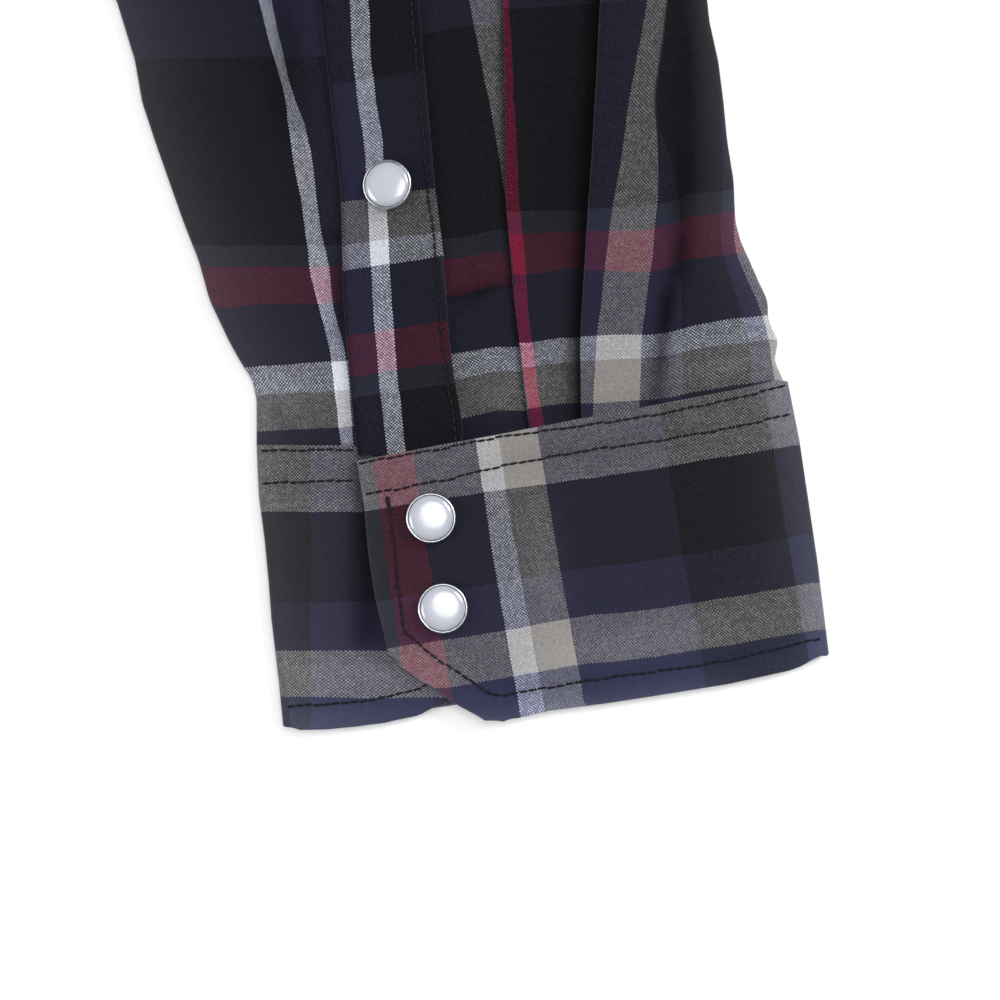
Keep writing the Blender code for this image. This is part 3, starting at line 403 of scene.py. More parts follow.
def ditch(away, place, depth, reach):
    """A groove along a stitch row that lies at a place from an edge, and the same bell for bands of painted
    shade: -depth x e to -(away / reach)^2.
    """
    return -depth * np.exp(-(((away - place) / reach) ** 2))


def pucker(along, away, height, wave, sway, drift, reach):
    """Small uneven waves of the cloth beside a stitch row: height x the sine of (along / wave + sway x the
    sine of along / drift) x e to -away / reach."""
    return height * np.sin(along / wave + sway * np.sin(along / drift)) * np.exp(-np.abs(away) / reach)


def fading(away, strength, reach):
    """A value that dies out away from an edge, for painted edge light and shade and for wear: strength x e
    to -away / reach.
    """
    return strength * np.exp(-away / reach)


def ruled(first, last, shares):
    """A grid whose rows run straight from the points of the first line to those of the last."""
    return first[:, None] + (last - first)[:, None] * shares[:, None]


# --- Meshes


def quads(rows, columns):
    """Corner numbers of a grid's quads, points stored row by row."""
    first = (np.arange(rows - 1)[:, None] * columns + np.arange(columns - 1)).reshape(-1, 1)
    return first + np.array([0, 1, columns + 1, columns])


def grid_normals(grid, tube):
    """Outward unit normals: the cross product of the directions along the columns and along the rows."""
    if tube:
        grid = np.concatenate([grid[:, -1:], grid, grid[:, :1]], axis=1)
    normal = np.cross(np.gradient(grid, axis=1), np.gradient(grid, axis=0))
    if tube:
        normal = normal[:, 1:-1]
    return normal / np.maximum(np.linalg.norm(normal, axis=2, keepdims=True), 1e-9)


def edge_distance(grid, edge):
    """Distance of every grid point from the border column or row: right, left, bottom or top."""
    line = {"right": grid[:, -1:], "left": grid[:, :1], "bottom": grid[:1], "top": grid[-1:]}[edge]
    return np.linalg.norm(grid - line, axis=2)


def rim_line(rows, columns, tube):
    """Numbers of the border points, once round; of a tube, the loops of its first and its last ring."""
    if tube:
        turn = np.arange(columns)
        return [turn, (rows - 1) * columns + turn[::-1]]
    right = np.arange(1, rows) * columns + columns - 1
    top = (rows - 1) * columns + np.arange(columns - 2, -1, -1)
    left = np.arange(rows - 2, 0, -1) * columns
    return [np.concatenate([np.arange(columns), right, top, left])]


def placed(name, data):
    """A new object of a mesh, light or camera, put in the scene."""
    thing = bpy.data.objects.new(name, data)
    bpy.context.scene.collection.objects.link(thing)
    return thing


def smooth_piece(name, points, faces, finish):
    """A smooth object that rides on the shirt, from points in millimetres and faces."""
    mesh = bpy.data.meshes.new(name)
    mesh.from_pydata(((points + TABLE_SHIFT) * MM).tolist(), [], faces)
    mesh.polygons.foreach_set("use_smooth", np.ones(len(faces), bool))
    mesh.materials.append(finish)
    mesh.update()
    piece = placed(name, mesh)
    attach(piece, "root")
    return piece


def put_mesh(name, points, faces, fabric, finish, mirrored):
    """A piece from points, quads, and of each face corner the fabric place and, for cloth, its wear with
    painted light and shade.
    """
    if mirrored:
        points = points * (-1, 1, 1)
        faces, fabric = faces[:, ::-1], fabric[:, ::-1]
    piece = smooth_piece(name, points, faces.tolist(), finish)
    layer = piece.data.uv_layers.new(name="fabric")
    layer.data.foreach_set("uv", np.ascontiguousarray(fabric[..., :2], dtype=np.float32).ravel())
    if fabric.shape[-1] == 3:
        # The wear attribute holds wear and painted light and shade: lighter at the edges, darker in the
        # folds' shelter.
        wear = piece.data.attributes.new("wear", "FLOAT", "CORNER")
        wear.data.foreach_set("value", np.ascontiguousarray(fabric[..., 2], dtype=np.float32).ravel())
    return piece


def cloth(name, outer, wall, fabric, finish, tube=False, mirrored=False):
    """A piece of cloth as a closed shell.

    outer is a grid of points of its outer side, and its other side lies wall deeper along the normals.
    The rim is half an oval: middle of the wall + normal x half the wall x cosine + outwards x the reach x
    sine. fabric is the grid of warp and weft places and of the wear with painted light and shade, with one
    more column on a tube, and it runs on over the rim at the rate at which it reaches it, the rim taking
    more painted light. Where none is given, painted edge light and wear die out from the rim."""
    rows, columns = outer.shape[:2]
    wide = columns + 1 if tube else columns
    if fabric.shape[-1] == 2:
        # Painted edge light and wear, dying out from the rim
        away = np.min([edge_distance(outer, edge) for edge in ("right", "left", "bottom", "top")], axis=0)
        fabric = with_height(fabric, fading(away, EDGE_LIGHT_AND_WEAR, EDGE_LIGHT_REACH))
    normal = grid_normals(outer, tube).reshape(-1, 3)
    front, places = outer.reshape(-1, 3).copy(), fabric.reshape(-1, 3).copy()
    half, reach = wall / 2, min(wall / 2, RIM_REACH)
    rims = []
    for loop in rim_line(rows, columns, tube):
        row, column = loop // columns, loop % columns
        inner_row = np.clip(row, 1, rows - 2)
        inner_column = column if tube else np.clip(column, 1, columns - 2)
        edge, inside = outer[row, column], outer[inner_row, inner_column]
        step = np.linalg.norm(edge - inside, axis=1, keepdims=True)
        rate = (fabric[row, column] - fabric[inner_row, inner_column]) / np.maximum(step, 0.05)
        rate = np.clip(rate, -1.4, 1.4) * (1, 1, 0)
        outwards = np.cross(np.roll(edge, -1, axis=0) - np.roll(edge, 1, axis=0), normal[loop])
        outwards /= np.maximum(np.linalg.norm(outwards, axis=1, keepdims=True), 1e-9)
        front[loop] -= outwards * np.minimum(reach, 0.8 * step)
        places[row * wide + column] -= rate * np.minimum(reach, 0.8 * step)
        rims.append((loop, row * wide + column, outwards, rate))
    back = front - normal * wall
    corner = quads(rows, wide)
    point = corner // wide * columns + corner % wide % columns
    count = rows * columns
    points, total = [front, back], 2 * count
    faces, cut = [point, point[:, ::-1] + count], [places[corner], places[corner][:, ::-1]]
    for loop, at, outwards, rate in rims:
        rings, ring_places = [loop], [places[at]]
        for angle in (45, 90, 135):
            turn = math.radians(angle)
            points.append(front[loop] - normal[loop] * half * (1 - math.cos(turn))
                          + outwards * reach * math.sin(turn))
            # More painted light on the rim's round
            ring_places.append(places[at] + rate * reach * angle / 90 + (0, 0, RIM_PAINTED_LIGHT * math.sin(turn)))
            rings.append(total + np.arange(len(loop)))
            total += len(loop)
        rings.append(loop + count)
        ring_places.append(places[at])
        after = np.roll(np.arange(len(loop)), -1)
        for first, second, start, stop in zip(rings, rings[1:], ring_places, ring_places[1:]):
            faces.append(np.stack([first, second, second[after], first[after]], axis=1))
            cut.append(np.stack([start, stop, stop[after], start[after]], axis=1))
    return put_mesh(name, np.concatenate(points), np.concatenate(faces), np.concatenate(cut), finish,
                    mirrored)


def turned(name, profile, centre, up, finish, mirrored=False, sides=48):
    """A solid turned about a line through centre, from radius and height pairs that start and end on it.
    The fabric place holds the radius and the turn, for finishes that change towards the rim."""
    up = np.asarray(up, float) / np.linalg.norm(up)
    side = np.cross(up, (0, 1, 0))
    side /= np.linalg.norm(side)
    front = np.cross(up, side)
    profile = np.asarray(profile, float)
    turns = np.arange(sides) * 2 * math.pi / sides
    spokes = np.cos(turns)[:, None] * side + np.sin(turns)[:, None] * front
    rings = centre + profile[:, 0, None, None] * spokes + profile[:, 1, None, None] * up
    rings[0], rings[-1] = rings[0].mean(axis=0), rings[-1].mean(axis=0)
    rows = len(profile)
    corner = quads(rows, sides + 1)
    faces = corner // (sides + 1) * sides + corner % (sides + 1) % sides
    radius = np.broadcast_to(profile[:, 0, None] / SNAP_RADIUS, (rows, sides + 1))
    turn = np.broadcast_to(np.linspace(0, 1, sides + 1), (rows, sides + 1))
    place = np.stack([radius, turn], axis=-1).reshape(-1, 2)[corner]
    return put_mesh(name, rings.reshape(-1, 3), faces, place, finish, mirrored)


def seated(surface, plan):
    """Points on a surface above plan points, their height the mean of the four nearest grid points
    weighted by one over the distance."""
    grid = surface.reshape(-1, 3)
    away = np.linalg.norm(grid[None, :, :2] - plan[:, None], axis=2)
    near = np.argpartition(away, 4, axis=1)[:, :4]
    weight = 1 / (np.take_along_axis(away, near, axis=1) + 0.05)
    return with_height(plan, (grid[near, 2] * weight).sum(axis=1) / weight.sum(axis=1))


def stitch_row(path, up=(0, 0, 1), pitch=STITCH_PITCH):
    """Middles, directions and upward directions of the stitches along a path that lies on cloth. The row
    sways a little to either side."""
    length = np.linalg.norm(np.diff(path, axis=0), axis=1).sum()
    count = max(2, round(length / pitch))
    up = np.broadcast_to(np.asarray(up, float), path.shape)
    line = evenly(np.concatenate([path, up], axis=1), 2 * count + 1)
    along = line[2::2, :3] - line[:-2:2, :3]
    along /= np.linalg.norm(along, axis=1, keepdims=True)
    upward = line[1::2, 3:]
    number = np.arange(count)[:, None]
    sway = 0.11 * np.sin(1.3 * number) + 0.07 * np.sin(3.9 * number)
    return line[1::2, :3] + np.cross(upward, along) * sway, along, upward


def stitches(name, rows, finish, mirrored=False):
    """Every stitch of the rows as one mesh. A stitch is a spindle of six sides whose radius is the root
    of 1 - x squared along its length and which arches up in the middle, its ends sunk in the cloth."""
    middle, along, up = (np.concatenate([row[k] for row in rows]) for k in range(3))
    side = np.cross(up, along)
    side /= np.linalg.norm(side, axis=1, keepdims=True)
    up = np.cross(along, side)
    at = np.array([-0.94, -0.6, 0.0, 0.6, 0.94])
    sides = 6
    turns = np.arange(sides) * 2 * math.pi / sides
    radius = np.sqrt(1 - at**2)[:, None] * THREAD_HALF
    spindle = np.stack(np.broadcast_arrays(
        at[:, None] * STITCH_LENGTH / 2,
        radius * np.cos(turns),
        radius * np.sin(turns) + THREAD_HALF * (0.75 - 1.4 * at[:, None] ** 2),
    ), axis=-1).reshape(-1, 3)
    tips = [(end * STITCH_LENGTH / 2, 0, -0.65 * THREAD_HALF) for end in (-1, 1)]
    form = np.concatenate([spindle, tips])
    points = (middle[:, None] + form[:, 0, None] * along[:, None] + form[:, 1, None] * side[:, None]
              + form[:, 2, None] * up[:, None]).reshape(-1, 3)
    corner = quads(len(at), sides + 1)
    belt = corner // (sides + 1) * sides + corner % (sides + 1) % sides
    ring = np.arange(sides)
    after = (ring + 1) % sides
    last = len(spindle) - sides
    caps = [np.stack([np.full(sides, len(spindle)), after, ring, ring], axis=1),
            np.stack([np.full(sides, len(spindle) + 1), last + ring, last + after, last + after], axis=1)]
    one = np.concatenate([belt, *caps])
    faces = (one[None] + (np.arange(len(middle)) * len(form))[:, None, None]).reshape(-1, 4)
    faces = [tuple(dict.fromkeys(face)) for face in faces.tolist()]
    if mirrored:
        points = points * (-1, 1, 1)
        faces = [face[::-1] for face in faces]
    piece = smooth_piece(name, points, faces, finish)
    return piece


# --- Finishes


def linear(hex_colour):
    """An sRGB hex colour as linear red, green, blue and full opacity."""
    value = np.array([int(hex_colour[k : k + 2], 16) for k in (1, 3, 5)]) / 255
    return (*np.where(value <= 0.04045, value / 12.92, ((value + 0.055) / 1.055) ** 2.4), 1.0)


def add(tree, kind, links=None, **settings):
    """One node with its settings, and by socket name or number its values and links. A node given as a
    value is linked by the first output that it shows."""
    node = tree.nodes.new("ShaderNode" + kind)
    for key, value in settings.items():
        setattr(node, key, value)
    for socket, value in (links or {}).items():
        if isinstance(value, bpy.types.Node):
            value = next(output for output in value.outputs if output.enabled)
        if isinstance(value, bpy.types.NodeSocket):
            tree.links.new(value, node.inputs[socket])
        else:
            node.inputs[socket].default_value = value
    return node


def new_finish(name, **shader):
    """A material with its tree and its shader node, whose sockets are set."""
    material = bpy.data.materials.new(name)
    material.use_nodes = True
    tree = material.node_tree
    node = tree.nodes["Principled BSDF"]
    for socket, value in shader.items():
        node.inputs[socket.replace("_", " ")].default_value = value
    return material, tree, node


YARNS = {
    "black": "#0f0f14",
    "navy": "#1f1f31",
    "faded navy": "#222644",  # washed paler, along the cuff's lower edge
    "teal": "#272932",
    "wine": "#571d2f",
    "beige": "#7c7976",
    "white": "#d0d3dd",
    "off-white": "#b0b2ba",
    "steel": "#2b2c3c",
    "red": "#780e2b",
}
# Yarn and width of each stripe in millimetres, once through the repeat
WARP = [("white", 4), ("navy", 12), ("black", 34), ("beige", 11), ("navy", 3), ("red", 2.7),
        ("black", 23.3), ("navy", 11), ("beige", 10.5), ("navy", 8.3), ("black", 13.2), ("navy", 4),
        ("beige", 11), ("black", 34)]
WEFT = [("teal", 5), ("wine", 9.5), ("navy", 13.7), ("off-white", 5.6), ("beige", 9.7), ("navy", 28.5),
        ("black", 23), ("steel", 7), ("navy", 14), ("black", 46)]
CUFF_WARP = [("beige", 14.6), ("black", 21), ("navy", 11.6), ("beige", 10.9), ("faded navy", 18),
             ("beige", 5.9)]
# Share of the warp thread at a crossing where the weft lies on top, how much more of it shows where it is
# on top itself, and how far chance and uneven spinning change that
WEFT_ON_TOP, WARP_ON_TOP, BY_CHANCE, BY_SPINNING = 0.09, 0.56, 0.26, 0.22
MIX_POWER = 3.0  # threads mix as cube roots of their colours
LOST_LIGHT = (-0.32, -0.31, -0.28)  # red, green and blue lost where a light and a dark thread cross
THREAD_WANDER = (0.9, 0.9, 0.0)
LINT_AND_HAZE, LINT_SPECKS = (0.024, 0.024, 0.027), 0.14  # colour of the lint specks and of the painted haze of light over the lightened edges, and how strong its specks are
# Shirting has a thread every 0.26 mm. It is drawn a little coarser, because finer threads melt together
# in a picture of the whole sleeve end
THREAD_PITCH = 0.38


def striped(tree, threads, stripes):
    """Colour of each thread by its middle, counted round the repeat: the last stripe that starts before
    it."""
    repeat = sum(width for _, width in stripes)
    middle = add(tree, "Math", {0: threads, 1: THREAD_PITCH, 2: THREAD_PITCH / 2},
                 operation="MULTIPLY_ADD")
    place = add(tree, "Math", {0: middle, 1: repeat}, operation="FLOORED_MODULO")
    colour = linear(YARNS[stripes[0][0]])
    start = stripes[0][1]
    for yarn, width in stripes[1:]:
        begun = add(tree, "Math", {0: place, 1: start}, operation="GREATER_THAN")
        colour = add(tree, "Mix", {"Factor": begun, "A": colour, "B": linear(YARNS[yarn])},
                     data_type="RGBA")
        start += width
    return colour


def plaid(name, warp, weft):
    """Yarn-dyed plaid cotton shirting, plain weave: every other crossing shows the warp or the weft
    thread, so a light stripe is salt and pepper where it crosses a dark one. Matt, with a trace of fuzz."""
    material, tree, shader = new_finish(name, Roughness=0.9, Specular_IOR_Level=0.08, Sheen_Weight=0.2,
                                        Sheen_Roughness=0.35)
    cut = add(tree, "UVMap", uv_map="fabric")
    # Threads wander by a few tenths of a millimetre
    wander = add(tree, "TexNoise", {"Vector": cut, "Scale": 0.11, "Detail": 3.0})
    centred = add(tree, "VectorMath", {0: wander.outputs["Color"], 1: (0.5, 0.5, 0.5)},
                  operation="SUBTRACT")
    moved = add(tree, "VectorMath", {0: centred, 1: THREAD_WANDER, 2: cut}, operation="MULTIPLY_ADD")
    counted = add(tree, "VectorMath", {0: moved, 3: 1 / THREAD_PITCH}, operation="SCALE")
    whole = add(tree, "VectorMath", {0: counted}, operation="FLOOR")
    ends = add(tree, "SeparateXYZ", {0: whole})
    warp_colour = striped(tree, ends.outputs[0], warp)
    weft_colour = striped(tree, ends.outputs[1], weft)
    both = add(tree, "Math", {0: ends.outputs[0], 1: ends.outputs[1]}, operation="ADD")
    parity = add(tree, "Math", {0: both, 1: 2.0}, operation="FLOORED_MODULO")
    # How much of the warp thread shows: most of it or little of it, and by chance more or less, as the
    # yarns are spun uneven
    chance = add(tree, "TexWhiteNoise", {"Vector": whole}, noise_dimensions="2D")
    runs = []
    for stretch in ((1.6, 0.16, 1.0), (0.16, 1.6, 1.0)):
        drawn = add(tree, "VectorMath", {0: moved, 1: stretch}, operation="MULTIPLY")
        runs.append(add(tree, "TexNoise", {"Vector": drawn, "Scale": 1.0, "Detail": 2.0}))
    thick = add(tree, "Math", {0: runs[0], 1: runs[1]}, operation="SUBTRACT")
    share = WEFT_ON_TOP
    for source, weight in ((parity, WARP_ON_TOP), (chance, BY_CHANCE), (thick, BY_SPINNING)):
        share = add(tree, "Math", {0: source, 1: weight, 2: share}, operation="MULTIPLY_ADD",
                    use_clamp=source is thick)
    # Threads take up one another's light, so a light and a dark one mix as roots: a light thread among
    # dark ones loses the light that its neighbours would give it
    roots = [add(tree, "Gamma", {0: colour, 1: 1 / MIX_POWER}) for colour in (weft_colour, warp_colour)]
    seen = add(tree, "Mix", {"Factor": share, "A": roots[0], "B": roots[1]}, data_type="RGBA")
    seen = add(tree, "Gamma", {0: seen, 1: MIX_POWER})
    apart = add(tree, "VectorMath", {0: roots[0], 1: roots[1]}, operation="SUBTRACT")
    apart = add(tree, "VectorMath", {0: apart}, operation="ABSOLUTE")
    loss = add(tree, "VectorMath", {0: apart, 1: LOST_LIGHT, 2: (1, 1, 1)}, operation="MULTIPLY_ADD")
    # Lint and uneven dye
    lint = add(tree, "TexNoise", {"Vector": moved, "Scale": 1.3, "Detail": 3.0})
    tone = add(tree, "Math", {0: lint, 1: 0.7, 2: 0.65}, operation="MULTIPLY_ADD")
    # The wear attribute lightens the cloth along its edges, as painted edge light and wear, and darkens it
    # as painted shade in the shelter of its folds
    shading_and_wear = add(tree, "Attribute", attribute_name="wear").outputs["Fac"]
    faded = add(tree, "Math", {0: shading_and_wear, 1: 0.0}, operation="MAXIMUM")
    painted_shade = add(tree, "Math", {0: shading_and_wear, 1: 0.0}, operation="MINIMUM")
    shading_factor = add(tree, "Math", {0: faded, 1: 0.5, 2: 1.0}, operation="MULTIPLY_ADD")
    shading_factor = add(tree, "Math", {0: shading_factor, 1: painted_shade}, operation="ADD")
    tone = add(tree, "Math", {0: tone, 1: shading_factor}, operation="MULTIPLY")
    dyed = add(tree, "VectorMath", {0: seen, 3: tone}, operation="SCALE")
    dyed = add(tree, "VectorMath", {0: dyed, 1: loss}, operation="MULTIPLY")
    # Grey fuzz as a painted haze of light over the lightened cloth, and a speck of lint on a few crossings
    specks = add(tree, "Math", {0: chance, 1: 4.0}, operation="POWER")
    specks = add(tree, "Math", {0: specks, 1: LINT_SPECKS, 2: faded}, operation="MULTIPLY_ADD")
    lint_and_haze = add(tree, "VectorMath", {0: LINT_AND_HAZE, 3: specks}, operation="SCALE")
    dyed = add(tree, "VectorMath", {0: dyed, 1: lint_and_haze}, operation="ADD")
    tree.links.new(dyed.outputs[0], shader.inputs["Base Color"])
    # Crumple of worn cotton, then each thread's round back, as heights in metres
    crumple = add(tree, "TexNoise", {"Vector": cut, "Scale": 0.05, "Detail": 4.0})
    soft = add(tree, "Bump", {"Height": crumple, "Distance": 0.002, "Strength": 0.45})
    across = add(tree, "VectorMath", {0: counted}, operation="FRACTION")
    backs = add(tree, "VectorMath", {0: across, 3: math.pi}, operation="SCALE")
    backs = add(tree, "VectorMath", {0: backs}, operation="SINE")
    backs = add(tree, "SeparateXYZ", {0: backs})
    crown = add(tree, "Mix", {"Factor": parity, "A": backs.outputs[1], "B": backs.outputs[0]},
                data_type="FLOAT")
    weave = add(tree, "Bump", {"Height": crown, "Distance": 0.00006, "Strength": 0.6, "Normal": soft})
    tree.links.new(weave.outputs[0], shader.inputs["Normal"])
    return material


def thread_finish():
    """Spun polyester sewing thread, near black with a slight shine along the twist."""
    material, tree, shader = new_finish("black_sewing_thread", Roughness=0.6, Specular_IOR_Level=0.2)
    place = add(tree, "TexCoord").outputs["Object"]
    twist = add(tree, "TexNoise", {"Vector": place, "Scale": 2500.0, "Detail": 1.0})
    ramp = add(tree, "ValToRGB", {0: twist})
    ramp.color_ramp.elements[0].color = linear("#060608")
    ramp.color_ramp.elements[1].color = linear("#141418")
    tree.links.new(ramp.outputs[0], shader.inputs["Base Color"])
    return material


def rim_metal():
    """Nickel-plated brass, spun and satin polished: a cool grey ring with soft highlights."""
    material, tree, shader = new_finish("nickel_plated_brass", Metallic=1.0, Roughness=0.2)
    place = add(tree, "TexCoord").outputs["Object"]
    cloud = add(tree, "TexNoise", {"Vector": place, "Scale": 900.0, "Detail": 3.0})
    tint = add(tree, "ValToRGB", {0: cloud})
    tint.color_ramp.elements[0].color = linear("#a9abb0")
    tint.color_ramp.elements[1].color = linear("#d2d4d8")
    tree.links.new(tint.outputs[0], shader.inputs["Base Color"])
    wear = add(tree, "Math", {0: cloud, 1: 0.18, 2: 0.12}, operation="MULTIPLY_ADD")
    tree.links.new(wear.outputs[0], shader.inputs["Roughness"])
    return material


def pearl_finish():
    """Pearlised polyester resin, polished: milky white under a clear gloss, greyer towards the rim, partly
    as the resin's clearer edge and partly as painted shade, with faint clouds of pearl."""
    material, tree, shader = new_finish("pearlised_polyester", Roughness=0.25, Coat_Weight=1.0,
                                        Coat_Roughness=0.13, Specular_IOR_Level=0.8)
    radius = add(tree, "UVMap", uv_map="fabric")
    radius = add(tree, "SeparateXYZ", {0: radius})
    place = add(tree, "TexCoord").outputs["Object"]
    cloud = add(tree, "TexNoise", {"Vector": place, "Scale": 260.0, "Detail": 2.0, "Distortion": 1.2})
    shifted = add(tree, "Math", {0: cloud, 1: 0.16, 2: -0.08}, operation="MULTIPLY_ADD")
    at = add(tree, "Math", {0: radius.outputs[0], 1: shifted}, operation="ADD")
    # Greyer towards the rim: partly the resin's clearer edge, partly painted shade
    ramp = add(tree, "ValToRGB", {0: at})
    table = ramp.color_ramp
    table.elements[0].color = linear("#b2b5c0")
    table.elements[1].position = 0.86
    table.elements[1].color = linear("#a4a7b0")
    table.elements.new(0.55).color = linear("#afb2bd")
    tree.links.new(ramp.outputs[0], shader.inputs["Base Color"])
    return material


SHIRT_PLAID = plaid("plaid_cotton_shirting", WARP, WEFT)
CUFF_PLAID = plaid("plaid_cotton_cuff_crosswise", CUFF_WARP, WEFT)
THREAD = thread_finish()
RIM_METAL = rim_metal()
PEARL = pearl_finish()


def build_cloth(node, outer, wall, fabric, rows=(), stitching=None,
                finish=SHIRT_PLAID, tube=False, mirrored=False):
    """A piece of cloth and its stitching. node is the solid that it stands for."""
    piece = cloth(node + "_cloth", outer, wall, fabric, finish, tube, mirrored)
    threads = [stitches(stitching or node + "_stitching", rows, THREAD, mirrored)] if rows else []
    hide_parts(node)


# --- Sleeve


def weft_place(x, y, columns):
    """Weft place at x and y: up each column of the table straight from band edge to band edge, and across
    straight from column to column."""
    places = []
    for _, heights in columns:
        heights, values = np.array(heights[::-1]), np.array(BAND_EDGES[::-1], float)
        inside = np.interp(y, heights, values)
        inside += np.maximum(heights[0] - y, 0) - np.maximum(y - heights[-1], 0)
        places.append(inside)
    at = [x_column for x_column, _ in columns]
    total = places[0]
    for a, b, first, second in zip(at, at[1:], places, places[1:]):
        total = total + (second - first) * np.clip((x - a) / (b - a), 0, 1)
    return total


def seam_drop(x, row):
    """How far the sleeve's row is moved at x, so that the lowest rows follow the cuff's top edge."""
    seam = np.interp(x, *np.array(SEAM_LINE).T)
    return (seam - SEAM_NOMINAL) * (1 - between((SEAM_NOMINAL, 48), row))


# A pleat's hidden cloth: run in, round the inner fold, back, and round the fold that shows. Each step as
# shares of the depth and of the gap in x, of the gap in z, and of the hidden cloth's width
PLEAT_STEPS = np.array([
    (0.35, 0, 0, 0.16), (0.7, 0, 0, 0.32), (1, 0, 0, 0.46), (1, 0.5, 0.5, 0.5), (1, 0, 1, 0.54),
    (0.7, 0, 1, 0.68), (0.35, 0, 1, 0.84), (0, 0, 1, 0.97), (0, -0.36, 1.14, 0.98), (0, -0.5, 1.5, 0.99),
    (0, -0.36, 1.86, 0.995),
])
PLEAT_GAPS = {"pleat_1": (0.4, 0.75), "pleat_2": (0.42, 1.35)}  # between its layers, at the cuff and above
FOLD_STEP = 0.75  # a fold is no rounder than this in plan
PLEAT_FOOT_SHADE = {"pleat_1": (0.55, 1.0), "pleat_2": (0.9, 3.2)}  # painted shade at the foot of the pleats: how dark and how far out
# The darkest that the sleeve's painted shade goes
DARKEST_SHADE = -0.92
EDGE_STEPS = np.array([0, 0.15, 0.6, 1.65])  # columns beside a folded edge, over the width of its round
EDGE_SHADING_REACH = 6


